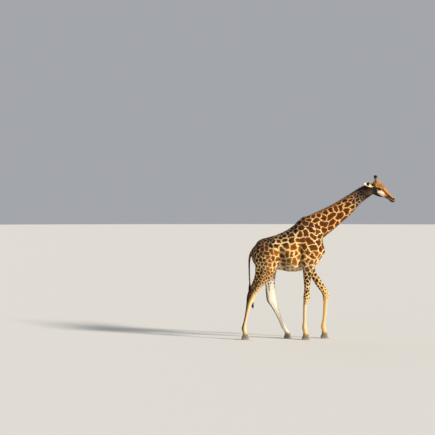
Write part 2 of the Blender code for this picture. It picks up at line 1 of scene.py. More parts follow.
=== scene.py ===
"""A walking giraffe, life size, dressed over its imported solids.

Metres, +Z up. The animal faces +X and its left side is +Y. One closed skin is
drawn from the same section tables as the solids, a little inside them, and a
short coat of locks lies over it.
"""

import json
import math

import bpy
import numpy as np
from mathutils import Matrix

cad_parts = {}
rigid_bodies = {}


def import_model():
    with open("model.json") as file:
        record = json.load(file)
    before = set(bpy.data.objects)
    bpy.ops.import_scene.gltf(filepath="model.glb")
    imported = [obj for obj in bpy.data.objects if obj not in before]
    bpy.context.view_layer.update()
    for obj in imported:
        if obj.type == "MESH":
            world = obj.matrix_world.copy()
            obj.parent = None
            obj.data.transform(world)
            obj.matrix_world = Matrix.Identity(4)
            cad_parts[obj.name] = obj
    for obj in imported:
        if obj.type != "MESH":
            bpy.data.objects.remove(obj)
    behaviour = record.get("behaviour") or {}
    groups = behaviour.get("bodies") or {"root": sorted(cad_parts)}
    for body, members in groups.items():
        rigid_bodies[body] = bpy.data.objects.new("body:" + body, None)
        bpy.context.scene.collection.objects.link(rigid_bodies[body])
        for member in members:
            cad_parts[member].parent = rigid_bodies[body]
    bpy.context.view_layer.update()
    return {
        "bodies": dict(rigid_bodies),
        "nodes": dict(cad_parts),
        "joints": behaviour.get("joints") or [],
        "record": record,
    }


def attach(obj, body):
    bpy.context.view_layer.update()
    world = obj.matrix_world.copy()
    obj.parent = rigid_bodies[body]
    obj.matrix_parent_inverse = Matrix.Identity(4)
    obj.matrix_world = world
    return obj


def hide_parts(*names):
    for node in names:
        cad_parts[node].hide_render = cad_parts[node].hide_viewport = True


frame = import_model()

# Places and slopes of the neck and the head, as in the solids.
NECK_ROOT = (-0.05, 0.0, 2.50)
NECK_RISE = 35.5
HEAD_ROOT = (1.28, 0.0, 3.443)
HEAD_RISE = -35.0
HEAD_TURN = -13.0
CORONET = 0.104  # level where the hair ends and the hooves begin
TOE_SPREAD = 0.034
TOE_HALF_WIDTH = 0.0315
EYE_RADIUS = 0.0225
EYE_PLACE = (0.100, 0.095, 0.037)  # along the head, out, up

# Starts of chance, for whatever is strewn or varied.
CENTRES_SEED = 11
TONES_SEED = 21
OSSICONE_SEED = 31
MANE_SEED, MANE_TONES_SEED = 41, 43
TUFT_SEED, TUFT_TONES_SEED = 47, 53
LASH_SEEDS = {"left": 61, "right": 67}

# Depth of the coat over the skin.
BODY_COAT = 0.006
LEG_COAT = 0.004
FACE_COAT = 0.003

# Cells of the skin's grid. They shrink along +X from the chest to the head.
BODY_CELL = 0.0150
HEAD_CELL = 0.0042
SHRINK_FROM, SHRINK_TO = 0.50, 1.14
GRID_X = (-1.80, 1.80)
GRID_TRIALS = 4001  # places along X at which the cells' sizes are added up
GRID_LEVEL = 3.27  # level that the cells shrink about
GRID_SIDE = (-60, 60)  # cells to the right and the left
GRID_HEIGHT = (-224, 112)  # cells below and above that level
SLAB = 16  # grid columns worked out at a time
FAR = 0.2  # field where no form is near
BOX_MARGIN = 0.04  # round a form, past its join

# Section tables. Each row is a station along the form, the low and the high
# edge of its section there, the side shift of its middle and its half width.
TRUNK = (
    (-1.520, 1.900, 2.010, 0, 0.050),
    (-1.490, 1.760, 2.080, 0, 0.110),
    (-1.420, 1.640, 2.150, 0, 0.165),
    (-1.300, 1.560, 2.262, 0, 0.212),
    (-1.150, 1.545, 2.325, 0, 0.250),
    (-1.000, 1.560, 2.367, 0, 0.280),
    (-0.850, 1.540, 2.424, 0, 0.312),
    (-0.700, 1.510, 2.500, 0, 0.330),
    (-0.550, 1.505, 2.605, 0, 0.330),
    (-0.430, 1.520, 2.722, 0, 0.315),
    (-0.330, 1.545, 2.778, 0, 0.300),
    (-0.200, 1.570, 2.745, 0, 0.285),
    (-0.080, 1.610, 2.640, 0, 0.255),
    (0.020, 1.740, 2.480, 0, 0.200),
    (0.090, 1.860, 2.270, 0, 0.140),
    (0.135, 1.925, 2.100, 0, 0.085),
    (0.158, 1.970, 2.010, 0, 0.030),
)
NECK = (
    (-0.250, -0.340, 0.300, 0, 0.215),
    (-0.100, -0.310, 0.372, 0, 0.205),
    (0.000, -0.268, 0.352, 0, 0.182),
    (0.200, -0.250, 0.292, 0, 0.158),
    (0.350, -0.243, 0.258, 0, 0.145),
    (0.600, -0.212, 0.213, 0, 0.128),
    (0.800, -0.195, 0.190, 0, 0.116),
    (0.950, -0.165, 0.178, 0, 0.108),
    (1.060, -0.138, 0.171, 0, 0.101),
    (1.200, -0.114, 0.164, 0, 0.094),
    (1.320, -0.108, 0.154, 0, 0.088),
    (1.440, -0.106, 0.134, 0, 0.083),
    (1.540, -0.085, 0.100, 0, 0.070),
)
HEAD = (
    (-0.130, -0.060, 0.070, 0, 0.060),
    (-0.090, -0.110, 0.108, 0, 0.080),
    (-0.040, -0.135, 0.150, 0, 0.091),
    (0.020, -0.146, 0.181, 0, 0.096),
    (0.090, -0.141, 0.172, 0, 0.098),
    (0.150, -0.130, 0.154, 0, 0.092),
    (0.210, -0.110, 0.131, 0, 0.079),
    (0.310, -0.066, 0.101, 0, 0.060),
    (0.400, -0.050, 0.083, 0, 0.052),
    (0.470, -0.052, 0.068, 0, 0.054),
    (0.520, -0.048, 0.052, 0, 0.049),
    (0.548, -0.030, 0.032, 0, 0.035),
    (0.560, -0.008, 0.014, 0, 0.014),
)
FORELEG_STRAIGHT = (
    (1.980, -0.360, -0.020, 0.175, 0.080),
    (1.800, -0.365, -0.070, 0.192, 0.088),
    (1.680, -0.370, -0.115, 0.194, 0.087),
    (1.560, -0.365, -0.145, 0.186, 0.079),
    (1.400, -0.350, -0.170, 0.174, 0.067),
    (1.200, -0.334, -0.200, 0.162, 0.057),
    (1.080, -0.336, -0.205, 0.156, 0.055),
    (1.000, -0.350, -0.197, 0.153, 0.062),
    (0.930, -0.351, -0.202, 0.152, 0.061),
    (0.860, -0.349, -0.232, 0.151, 0.050),
    (0.780, -0.354, -0.270, 0.150, 0.040),
    (0.620, -0.358, -0.282, 0.150, 0.036),
    (0.440, -0.360, -0.283, 0.150, 0.036),
    (0.340, -0.370, -0.279, 0.150, 0.042),
    (0.260, -0.380, -0.262, 0.150, 0.051),
    (0.190, -0.360, -0.249, 0.150, 0.048),
    (0.130, -0.356, -0.228, 0.150, 0.057),
    (0.060, -0.362, -0.205, 0.150, 0.062),
)
FORELEG_REACHING = (
    (1.980, -0.300, -0.020, 0.175, 0.080),
    (1.800, -0.300, -0.040, 0.192, 0.088),
    (1.660, -0.270, -0.045, 0.194, 0.086),
    (1.520, -0.210, -0.036, 0.184, 0.076),
    (1.400, -0.150, 0.035, 0.174, 0.067),
    (1.250, -0.065, 0.130, 0.163, 0.058),
    (1.120, 0.030, 0.210, 0.157, 0.055),
    (1.030, 0.092, 0.248, 0.153, 0.061),
    (0.960, 0.110, 0.255, 0.152, 0.061),
    (0.880, 0.121, 0.240, 0.151, 0.050),
    (0.800, 0.126, 0.222, 0.150, 0.040),
    (0.620, 0.122, 0.206, 0.150, 0.036),
    (0.440, 0.107, 0.190, 0.150, 0.036),
    (0.340, 0.087, 0.184, 0.150, 0.042),
    (0.260, 0.071, 0.189, 0.150, 0.051),
    (0.190, 0.089, 0.200, 0.150, 0.048),
    (0.130, 0.092, 0.222, 0.150, 0.057),
    (0.060, 0.086, 0.245, 0.150, 0.062),
)
HINDLEG_TRAILING = (
    (2.100, -1.380, -1.060, 0.110, 0.075),
    (1.950, -1.448, -1.000, 0.146, 0.098),
    (1.800, -1.446, -0.955, 0.172, 0.114),
    (1.680, -1.440, -0.945, 0.176, 0.110),
    (1.560, -1.440, -0.980, 0.174, 0.098),
    (1.440, -1.455, -1.045, 0.166, 0.084),
    (1.320, -1.495, -1.155, 0.155, 0.071),
    (1.200, -1.545, -1.268, 0.145, 0.058),
    (1.100, -1.588, -1.342, 0.140, 0.048),
    (1.020, -1.620, -1.395, 0.138, 0.047),
    (0.950, -1.633, -1.432, 0.138, 0.050),
    (0.870, -1.637, -1.470, 0.138, 0.048),
    (0.780, -1.643, -1.515, 0.140, 0.042),
    (0.660, -1.657, -1.562, 0.142, 0.037),
    (0.500, -1.684, -1.604, 0.145, 0.035),
    (0.380, -1.712, -1.630, 0.147, 0.038),
    (0.290, -1.740, -1.638, 0.148, 0.047),
    (0.230, -1.744, -1.632, 0.149, 0.049),
    (0.170, -1.726, -1.616, 0.150, 0.047),
    (0.120, -1.722, -1.594, 0.150, 0.055),
    (0.060, -1.730, -1.570, 0.150, 0.061),
)
HINDLEG_REACHING = (
    (2.100, -1.350, -1.020, 0.110, 0.075),
    (1.950, -1.360, -0.960, 0.146, 0.098),
    (1.800, -1.345, -0.932, 0.172, 0.114),
    (1.680, -1.325, -0.926, 0.176, 0.110),
    (1.560, -1.298, -0.936, 0.174, 0.098),
    (1.440, -1.255, -0.955, 0.166, 0.084),
    (1.320, -1.216, -0.972, 0.155, 0.072),
    (1.200, -1.198, -0.974, 0.147, 0.060),
    (1.080, -1.191, -0.963, 0.142, 0.050),
    (0.980, -1.182, -0.952, 0.139, 0.047),
    (0.900, -1.172, -0.944, 0.138, 0.050),
    (0.830, -1.148, -0.930, 0.138, 0.049),
    (0.750, -1.088, -0.912, 0.139, 0.043),
    (0.650, -1.022, -0.884, 0.141, 0.037),
    (0.500, -0.938, -0.832, 0.144, 0.035),
    (0.380, -0.880, -0.778, 0.146, 0.038),
    (0.300, -0.852, -0.742, 0.148, 0.047),
    (0.240, -0.826, -0.712, 0.149, 0.049),
    (0.180, -0.780, -0.670, 0.150, 0.047),
    (0.120, -0.756, -0.628, 0.150, 0.055),
    (0.060, -0.752, -0.592, 0.150, 0.061),
)
TAIL = (
    (2.050, -1.500, -1.440, 0, 0.040),
    (1.960, -1.555, -1.470, 0, 0.036),
    (1.860, -1.582, -1.526, 0, 0.027),
    (1.700, -1.590, -1.547, 0, 0.020),
    (1.450, -1.582, -1.545, 0, 0.017),
    (1.250, -1.572, -1.538, 0, 0.017),
)
TAIL_TUFT = (
    (1.250, -1.572, -1.538, 0, 0.017),
    (1.180, -1.588, -1.520, 0, 0.032),
    (1.050, -1.590, -1.500, 0, 0.044),
    (0.900, -1.568, -1.475, 0, 0.046),
    (0.780, -1.535, -1.462, 0, 0.036),
    (0.700, -1.505, -1.468, 0, 0.018),
    (0.672, -1.490, -1.476, 0, 0.007),
)
# A hoof's plan at three levels, from the heel to the toe of the sole.
HOOF = (
    (0.000, 0.000, 0.190, 0, 1.00),
    (0.030, 0.000, 0.178, 0, 1.00),
    (0.070, 0.008, 0.156, 0, 0.96),
    (CORONET, 0.018, 0.138, 0, 0.88),
)
# Muscles on both sides: the middle, the half sizes along, across and through,
# the lean of the long one towards the rump, its tuck towards the spine, the
# width of the join, and how deep it is sunk below the solid's, which takes off
# the coat's depth and what the join adds.
MUSCLES = {
    "shoulder_blade": ((-0.215, 0.194, 2.250), (0.35, 0.150, 0.058), 23.0, 14.0, 0.100, 0.030),
    "shoulder_point": ((-0.040, 0.135, 2.010), (0.15, 0.110, 0.075), 15.0, 0.0, 0.080, 0.024),
    "upper_arm": ((-0.215, 0.200, 1.870), (0.20, 0.165, 0.066), -25.0, 0.0, 0.036, -0.010),
    "haunch": ((-1.150, 0.120, 2.000), (0.30, 0.23, 0.090), 40.0, 22.0, 0.080, 0.024),
    "thigh_muscle": ((-1.200, 0.150, 1.830), (0.30, 0.215, 0.105), 0.0, 8.0, 0.040, -0.004),
}
# Places on the head, along it, out from its middle and up.
EYE_RIM = (0.098, 0.072, 0.040)
OSSICONE_FOOT = (-0.012, 0.044, 0.120)
OSSICONE_TIP = (-0.150, 0.066, 0.232)
OSSICONE = (
    (0.00, -0.044, 0.044, 0, 0.038),
    (0.30, -0.034, 0.034, 0, 0.030),
    (0.58, -0.024, 0.024, 0, 0.022),
    (0.80, -0.025, 0.025, 0, 0.024),
    (0.93, -0.023, 0.023, 0, 0.022),
    (0.99, -0.012, 0.012, 0, 0.012),
)
EAR_FOOT = (-0.042, 0.066, 0.046)
EAR_TIP = (-0.228, 0.190, -0.056)
EAR_HALF_WIDTH = 0.059
EAR_THICKNESS = 0.009
EAR_BEND_FOOT = 118  # half the ear's opening at its foot, in degrees
EAR_OPENING = 62  # by which it has opened at the tip
EAR_DEPTH = 0.65  # of the hollow, as a share of the arc's radius
LID_CORNER = math.radians(74)
LID_UPPER = math.radians(47)
LID_LOWER = math.radians(36)
# The mane on the neck, and where each hoof's heel and middle are.
MANE = (
    (-0.10, 0.330, 0.384, 0, 0.008),
    (0.00, 0.300, 0.372, 0, 0.012),
    (0.12, 0.270, 0.345, 0, 0.014),
    (0.35, 0.222, 0.300, 0, 0.016),
    (0.60, 0.178, 0.258, 0, 0.016),
    (0.80, 0.155, 0.238, 0, 0.016),
    (1.06, 0.138, 0.222, 0, 0.016),
    (1.20, 0.130, 0.216, 0, 0.016),
    (1.35, 0.116, 0.208, 0, 0.016),
    (1.46, 0.095, 0.188, 0, 0.015),
    (1.53, 0.070, 0.150, 0, 0.012),
)
HEELS = {
    "fore_right": (-0.378, -0.150),
    "fore_left": (0.070, 0.150),
    "hind_right": (-1.748, -0.150),
    "hind_left": (-0.770, 0.150),
}


# ------ plain maths
def smooth(value):
    """Rises from 0 to 1 as value does, level at both ends: 3 v^2 - 2 v^3."""
    value = np.clip(value, 0.0, 1.0)
    return value * value * (3 - 2 * value)


def bell(value, middle, width):
    """exp(-((value - middle) / width)^2)."""
    return np.exp(-(((value - middle) / width) ** 2))


def before(value, end, soft):
    """1 up to soft before an end, falling smoothly to 0 at it."""
    return smooth((end - value) / soft)


def beyond(value, start, soft):
    """0 up to a start, rising smoothly to 1 over soft."""
    return smooth((value - start) / soft)


def window(value, start, end, soft):
    """1 between start and end, falling smoothly to 0 over soft outside them."""
    return smooth((value - start) / soft + 1) * smooth((end - value) / soft + 1)


def unit(vectors):
    """Each row divided by its length."""
    vectors = np.asarray(vectors, float)
    return vectors / np.maximum(np.linalg.norm(vectors, axis=-1, keepdims=True), 1e-9)


def weighed(weights, parts):
    """The sum of weight x part. Parts of no weight are left out, so that grids stay small."""
    total = 0.0
    for weight, part in zip(weights, parts):
        if abs(weight) > 1e-6:
            total = total + weight * part
    return total


def seen_from(origin, axes, x, y, z):
    """How far points lie from an origin along each axis."""
    parts = (x - origin[0], y - origin[1], z - origin[2])
    return [weighed(axis, parts) for axis in axes]


def soft_union(a, b, join):
    """The smaller of two distances, rounded over join where they are alike."""
    mix = np.clip(0.5 + 0.5 * (b - a) / join, 0, 1)
    return b + (a - b) * mix - join * mix * (1 - mix)


def soft_cut(a, b, join):
    """The first distance with the second's inside taken out of it."""
    return -soft_union(-a, b, join)


def turned(axis, degrees):
    """Turns about one of the three axes, as a 3 x 3 matrix."""
    c, s = math.cos(math.radians(degrees)), math.sin(math.radians(degrees))
    turns = {
        "X": ((1, 0, 0), (0, c, -s), (0, s, c)),
        "Y": ((c, 0, s), (0, 1, 0), (-s, 0, c)),
        "Z": ((c, -s, 0), (s, c, 0), (0, 0, 1)),
    }
    return np.array(turns[axis])


def faired(rows, steps):
    """A Catmull-Rom spline through the rows, with steps to each span."""
    rows = np.array(sorted(rows), float)
    ends = np.vstack([2 * rows[0] - rows[1], rows, 2 * rows[-1] - rows[-2]])
    t = (np.arange(steps) / steps)[:, None]
    spans = [
        b
        + 0.5 * t * (c - a)
        + t**2 * (a - 2.5 * b + 2 * c - 0.5 * d)
        + t**3 * (1.5 * b - 0.5 * a - 1.5 * c + 0.5 * d)
        for a, b, c, d in zip(ends, ends[1:], ends[2:], ends[3:])
    ]
    return np.vstack([*spans, rows[-1:]])


def column(table, station, which):
    """One column of a section table, run straight between its stations."""
    return np.interp(station, table[:, 0], table[:, which])


# ------ frames of forms
def sloped_frame(root, rise, turn=0.0):
    """Origin, along, up and side of a form that rises towards +X, turned about the vertical."""
    c, s = math.cos(math.radians(rise)), math.sin(math.radians(rise))
    axes = (c, 0.0, s), (-s, 0.0, c), (0.0, 1.0, 0.0)
    return np.array(root, float), *(turned("Z", turn) @ axis for axis in axes)


LEVEL_FRAME = sloped_frame((0, 0, 0), 0)
UPRIGHT_FRAME = tuple(np.array(v, float) for v in ((0, 0, 0), (0, 0, 1), (1, 0, 0), (0, 1, 0)))
NECK_FRAME = sloped_frame(NECK_ROOT, NECK_RISE)
HEAD_FRAME = sloped_frame(HEAD_ROOT, HEAD_RISE, HEAD_TURN)


def on_head(along, out, up):
    """World point of a place on the head."""
    origin, a, u, s = HEAD_FRAME
    return origin + a * along + s * out + u * up


def on_side(place, out):
    """World point of a place (along, out, up) on the left (1) or the right (-1) of the head."""
    along, beside, up = place
    return on_head(along, out * beside, up)


# ------ solids of the field
FAIR_STEPS = 8  # stations worked out to each row of a table
DISTANCE_SPAN = (-0.3, 0.6)  # a form's distances stay inside it


class Loft:
    """A form of the body: sections of a table, carried along a straight line.

    Each section is two half superellipses. A point's reach is the factor by
    which the section must grow to meet it, and its distance is reach - 1 over
    the reach's slope.
    """

    def __init__(self, rows, frame, widest, powers, coat, join, relief=None, end=0.02):
        self.table = faired(rows, FAIR_STEPS)
        self.slopes = np.gradient(self.table, self.table[:, 0], axis=0)
        self.frame, self.widest, self.powers = frame, widest, powers
        self.coat, self.join, self.relief, self.end = coat, join, relief, end
        self.cuts = False
        origin, along, up, side = frame
        t, low, high, shift, half = self.table.T
        corners = [
            origin + np.outer(t, along) + np.outer(rise, up) + np.outer(shift + out * half, side)
            for rise in (low, high)
            for out in (-1, 1)
        ]
        self.box = np.vstack(corners).min(axis=0), np.vstack(corners).max(axis=0)

    def place(self, x, y, z):
        """Station, rise and side shift of points in the form's own frame."""
        return seen_from(self.frame[0], self.frame[1:], x, y, z)

    def section(self, table, t):
        """Low and high edge, side shift, half width and widest level at a station."""
        low, high, shift, half = (column(table, t, which) for which in (1, 2, 3, 4))
        return low, high, shift, half, low + self.widest * (high - low)

    def shares(self, x, y, z):
        """Station, rise and side as shares of the section: -1 to 1 from edge to edge."""
        t, rise, side = self.place(x, y, z)
        low, high, shift, half, middle = self.section(self.table, t)
        tall = np.where(rise > middle, high - middle, middle - low)
        return t, (rise - middle) / tall, (side - shift) / half

    def distance(self, x, y, z):
        """How far points lie outside the form, negative inside."""
        t, rise, side = self.place(x, y, z)
        low, high, shift, half, middle = self.section(self.table, t)
        low_s, high_s, shift_s, half_s, middle_s = self.section(self.slopes, t)
        above = rise > middle
        tall = np.where(above, high - middle, middle - low)
        tall_s = np.where(above, high_s - middle_s, middle_s - low_s)
        power = np.where(above, self.powers[1], self.powers[0])
        p = np.abs(rise - middle) / tall + 1e-6
        q = np.abs(side - shift) / half + 1e-6
        p_power = p ** (power - 1)
        q_power = q ** (power - 1)
        reach = (p_power * p + q_power * q) ** (1 / power)
        p_slope = -(np.where(above, 1, -1) * middle_s + p * tall_s) / tall
        q_slope = -(np.sign(side - shift) * shift_s + q * half_s) / half
        along = (p_power * p_slope + q_power * q_slope) / (1 + (3 * (reach - 1)) ** 2)
        slope = np.sqrt((p_power / tall) ** 2 + (q_power / half) ** 2 + along**2)
        slope = np.maximum(slope * reach ** (1 - power), 1e-3)
        found = np.clip((reach - 1) / slope, *DISTANCE_SPAN) + self.coat
        if self.relief:
            found = found - self.relief(t, (rise - middle) / tall, np.abs(side - shift) / half)
        found = np.maximum(found, self.table[0, 0] - t)
        return soft_cut(found, self.table[-1, 0] - t, self.end)


class Ball:
    """A turned ellipsoid, added to the body or cut from it.

    Its distance is k (k - 1) / g, where k is the length of the point in units
    of the half sizes and g is its slope.
    """

    def __init__(self, middle, sizes, axes=np.eye(3), join=0.02, cuts=False, grow=0.0):
        self.middle, self.axes = np.array(middle, float), np.array(axes, float)
        self.sizes = np.array(sizes, float) + grow
        self.join, self.cuts = join, cuts
        reach = np.linalg.norm(self.axes * self.sizes[:, None], axis=0)
        self.box = self.middle - reach, self.middle + reach

    def distance(self, x, y, z):
        """How far points lie outside the ball, negative inside."""
        parts = seen_from(self.middle, self.axes, x, y, z)
        shares = [part / size for part, size in zip(parts, self.sizes)]
        length = np.sqrt(sum(share**2 for share in shares)) + 1e-6
        slope = np.sqrt(sum((share / size) ** 2 for share, size in zip(shares, self.sizes))) + 1e-6
        return length * (length - 1) / slope


class Ear:
    """A cupped leaf: arcs of one sheet that open from a tube at the foot to a flat tip."""

    def __init__(self, out):
        foot, tip = on_side(EAR_FOOT, out), on_side(EAR_TIP, out)
        self.foot, self.length = foot, np.linalg.norm(tip - foot)
        self.along = (tip - foot) / self.length
        face = HEAD_FRAME[3] * out
        self.face = unit(face - self.along * face.dot(self.along))
        self.across = np.cross(self.along, self.face)

    def shape(self, a):
        """Radius and half opening of the arc at a share of the ear's length."""
        a = np.clip(a, 0, 1)
        swell = np.sin(math.pi * (0.10 + 0.90 * a) ** 0.85)
        leaf = EAR_HALF_WIDTH * (np.maximum(swell, 0) ** 0.75 + 0.04) - 0.0015
        leaf = leaf * (0.55 + 0.45 * smooth((a + 0.02) / 0.20))
        bend = np.radians(EAR_BEND_FOOT - EAR_OPENING * a)
        return leaf / np.sin(np.minimum(bend, math.pi / 2)), bend

    def surface(self, a, turn):
        """World points of the sheet, at a share of the length and of the half opening."""
        radius, bend = self.shape(a)
        side, deep = radius * np.sin(turn * bend), radius * (EAR_DEPTH - np.cos(turn * bend))
        return (
            self.foot
            + np.multiply.outer(a * self.length, self.along)
            + side[..., None] * self.across
            + deep[..., None] * self.face
        )


EYE_REACH = 0.034  # half the box round an eye's opening
EYE_BEDDING = 0.002  # by which the opening ends under the eyeball's surface


class EyeOpening:
    """The almond between the lids, cut down to just under the eyeball's surface."""

    def __init__(self, out):
        self.middle = on_side(EYE_PLACE, out)
        self.gaze = eye_axes(out)
        self.join, self.cuts = 0.003, True
        self.box = self.middle - EYE_REACH, self.middle + EYE_REACH

    def distance(self, x, y, z):
        """How far points lie outside the opening, negative inside."""
        out, fore, up = seen_from(self.middle, self.gaze, x, y, z)
        away = np.sqrt(out**2 + fore**2 + up**2)
        turn = np.arctan2(fore, out) / LID_CORNER
        rise = np.arctan2(up, np.hypot(out, fore))
        almond = np.sqrt(np.maximum(1 - turn**2, 0))
        opening = np.where(rise > 0, LID_UPPER, LID_LOWER) * almond
        beside = np.maximum(np.abs(rise) - opening, (np.abs(turn) - 1) * LID_CORNER) * away
        return np.maximum(beside, EYE_RADIUS - EYE_BEDDING - away)


def eye_axes(out):
    """The way an eye looks: outwards, a little ahead and up, then its fore and upper sides."""
    _, along, up, side = HEAD_FRAME
    gaze = unit(side * out * 0.93 + along * 0.26 + up * 0.12)
    fore = unit(along - gaze * along.dot(gaze))
    upper = unit(up - gaze * up.dot(gaze) - fore * up.dot(fore))
    return gaze, fore, upper


# ------ relief of each form
def trunk_relief(t, rise, side):
    """The point of the hip, the hollow of the flank, the hollows behind blade and arm, the spine."""
    beside = smooth(side * 1.5)
    slant = -0.862 - 0.085 * rise
    hip = 0.012 * bell(t, -1.03, 0.075) * bell(rise, 0.58, 0.20) * beside
    flank = -0.080 * bell(t, slant, 0.095 - 0.045 * rise) * window(rise, -0.9, 0.0, 0.45) * beside
    blade = -0.004 * bell(t, -0.47, 0.08) * bell(rise, 0.2, 0.4) * beside
    arm = -0.036 * bell(t, -0.410, 0.055) * window(rise, -1.1, -0.15, 0.40) * beside
    spine = -0.006 * bell(side, 0.30, 0.14) * window(rise, 0.75, 1.2, 0.1)
    return hip + flank + blade + arm + spine


def neck_relief(t, rise, side):
    """The blocks of the neck bones, the furrow of the great vein, the crest's edge."""
    bones = 0.0022 * np.cos(2 * math.pi * t / 0.215) * bell(rise, 0.02, 0.34)
    furrow = -0.007 * bell(rise, -0.50, 0.13) * window(t, 0.15, 1.25, 0.15)
    crest = -0.005 * bell(rise, 0.66, 0.16) * window(t, 0.15, 1.25, 0.15)
    return (bones * window(t, 0.1, 1.3, 0.2) + furrow + crest) * smooth(side * 1.6)


def foreleg_relief(t, rise, side):
    """The groove before the tendons of the cannon, the bones of the knee, the forearm."""
    groove = -0.005 * bell(rise, -0.30, 0.30) * window(t, 0.40, 0.82, 0.08)
    knee = 0.004 * bell(t, 1.035, 0.022) - 0.0035 * bell(t, 0.995, 0.012)
    knee = (knee + 0.0035 * bell(t, 0.955, 0.022)) * bell(rise, 0.35, 0.55)
    forearm = -0.007 * bell(rise, -0.10, 0.16) * window(t, 1.20, 1.50, 0.12)
    fetlock = -0.003 * bell(rise, -0.15, 0.35) * bell(t, 0.25, 0.05)
    return (groove + forearm + fetlock) * smooth(side * 1.6) + knee


def hindleg_relief(t, rise, side):
    """The groove of the cannon, the hollow before the hock's tendon, the second thigh."""
    groove = -0.005 * bell(rise, -0.22, 0.30) * window(t, 0.42, 0.80, 0.08)
    hollow = -0.014 * bell(rise, -0.42, 0.22) * window(t, 1.10, 1.27, 0.08)
    thigh = -0.008 * bell(rise, 0.0, 0.18) * window(t, 1.32, 1.55, 0.12)
    behind = -0.045 * bell(rise, -0.55, 0.38) * window(t, 1.55, 2.05, 0.15)
    hock = 0.004 * bell(t, 0.965, 0.03) * bell(rise, 0.2, 0.5)
    fetlock = -0.003 * bell(rise, -0.15, 0.35) * bell(t, 0.28, 0.05)
    return (groove + hollow + thigh + behind + hock + fetlock) * smooth(side * 1.6)


LIPS = ((0.34, 0.40, 0.47, 0.53, 0.57), (-0.036, -0.031, -0.024, -0.013, -0.004))


def mouth_line(t):
    """Height of the lips' parting along the head."""
    return np.interp(t, *LIPS)


def head_relief(t, rise, side):
    """Lips, cheek and nose, worked out at heights above the head's line."""
    low, high = column(HEAD_TABLE, t, 1), column(HEAD_TABLE, t, 2)
    middle = low + HEAD_WIDEST * (high - low)
    height = middle + rise * np.where(rise > 0, high - middle, middle - low)
    parting = mouth_line(t)
    mouth = -0.0080 * bell(height, parting, 0.0062) * window(t, 0.400, 0.60, 0.05)
    lips = 0.004 * bell(height, parting - 0.017, 0.013) * window(t, 0.44, 0.53, 0.03)
    lips = lips + 0.004 * bell(height, parting + 0.020, 0.014) * window(t, 0.42, 0.54, 0.04)
    bridge = -0.006 * bell(t, 0.29, 0.10) * bell(height, 0.035, 0.03)
    crest = 0.002 * bell(height, 0.018 - 0.16 * (t - 0.16), 0.012) * window(t, 0.13, 0.27, 0.05)
    cheek = 0.006 * bell(t, 0.075, 0.06) * bell(height, -0.060, 0.045)
    jaw = -0.005 * bell(height, -0.098 + 0.25 * (t - 0.05), 0.012) * window(t, 0.0, 0.2, 0.05)
    temple = -0.009 * bell(t, 0.035, 0.035) * bell(height, 0.075, 0.035)
    return mouth + (lips + bridge + crest + cheek + jaw + temple) * smooth(side * 1.8)


# ------ all the solids
HEAD_WIDEST = 0.54  # where a section of the head is widest, as a share of its height
HEAD_TABLE = faired(HEAD, FAIR_STEPS)
LEG_JOIN = 0.035
LEG_END = 0.06  # over which the leg's top is rounded


def limb(rows, side, relief):
    """A leg's form from its table, on the left (1) or on the right (-1)."""
    rows = [(z, low, high, side * shift, half) for z, low, high, shift, half in rows]
    return Loft(rows, UPRIGHT_FRAME, 0.5, (2, 2), LEG_COAT, LEG_JOIN, relief, LEG_END)


# Each form: its table and frame, where its sections are widest, the powers of
# their lower and upper halves, the coat's depth, the join's width, the relief.
FORMS = {
    "trunk": Loft(TRUNK, LEVEL_FRAME, 0.43, (2.3, 1.75), BODY_COAT, 0.03, trunk_relief),
    "neck": Loft(NECK, NECK_FRAME, 0.44, (2.1, 1.8), BODY_COAT, 0.05, neck_relief),
    "head": Loft(HEAD, HEAD_FRAME, HEAD_WIDEST, (1.9, 2.3), FACE_COAT, 0.05, head_relief),
    "foreleg_right": limb(FORELEG_STRAIGHT, -1, foreleg_relief),
    "foreleg_left": limb(FORELEG_REACHING, 1, foreleg_relief),
    "hindleg_right": limb(HINDLEG_TRAILING, -1, hindleg_relief),
    "hindleg_left": limb(HINDLEG_REACHING, 1, hindleg_relief),
    "tail": Loft(TAIL, UPRIGHT_FRAME, 0.5, (2, 2), 0.002, 0.012),
}
SIDES = {"left": 1, "right": -1}
EARS = {hand: Ear(out) for hand, out in SIDES.items()}


def muscle_balls():
    """The muscle masses of the solids, sunk into the flesh."""
    made = []
    for middle, (long, across, through), lean, tuck, join, sink in MUSCLES.values():
        for side in SIDES.values():
            axes = (turned("X", side * tuck) @ turned("Y", -lean)).T
            place = (middle[0], side * middle[1], middle[2])
            made.append(Ball(place, (across, through, long), axes, join, grow=-sink))
    return made


# Balls of the head: the place, the half sizes, the width of the join and the growth.
MIDDLE_BALLS = (
    ((0.478, 0, -0.036), (0.040, 0.036, 0.020), 0.015),  # chin
    ((-0.022, 0, 0.160), (0.045, 0.052, 0.034), 0.036),  # hump of the brow
)
SIDE_BALLS = (
    (EYE_RIM, (0.056, 0.036, 0.047), 0.022, -FACE_COAT),
    (EYE_PLACE, (EYE_RADIUS,) * 3, 0.010, 0.004),  # lids
    (OSSICONE_FOOT, (0.046, 0.040, 0.046), 0.030, 0.0),
    ((EAR_FOOT[0] + 0.002, EAR_FOOT[1] - 0.004, EAR_FOOT[2]), (0.040, 0.024, 0.040), 0.026, 0.0),
)
NOSTRIL = (0.496, 0.041, 0.030)
NOSTRIL_SIZES = (0.022, 0.012, 0.0070)
NOSTRIL_DROP, NOSTRIL_TURN = -32, 18


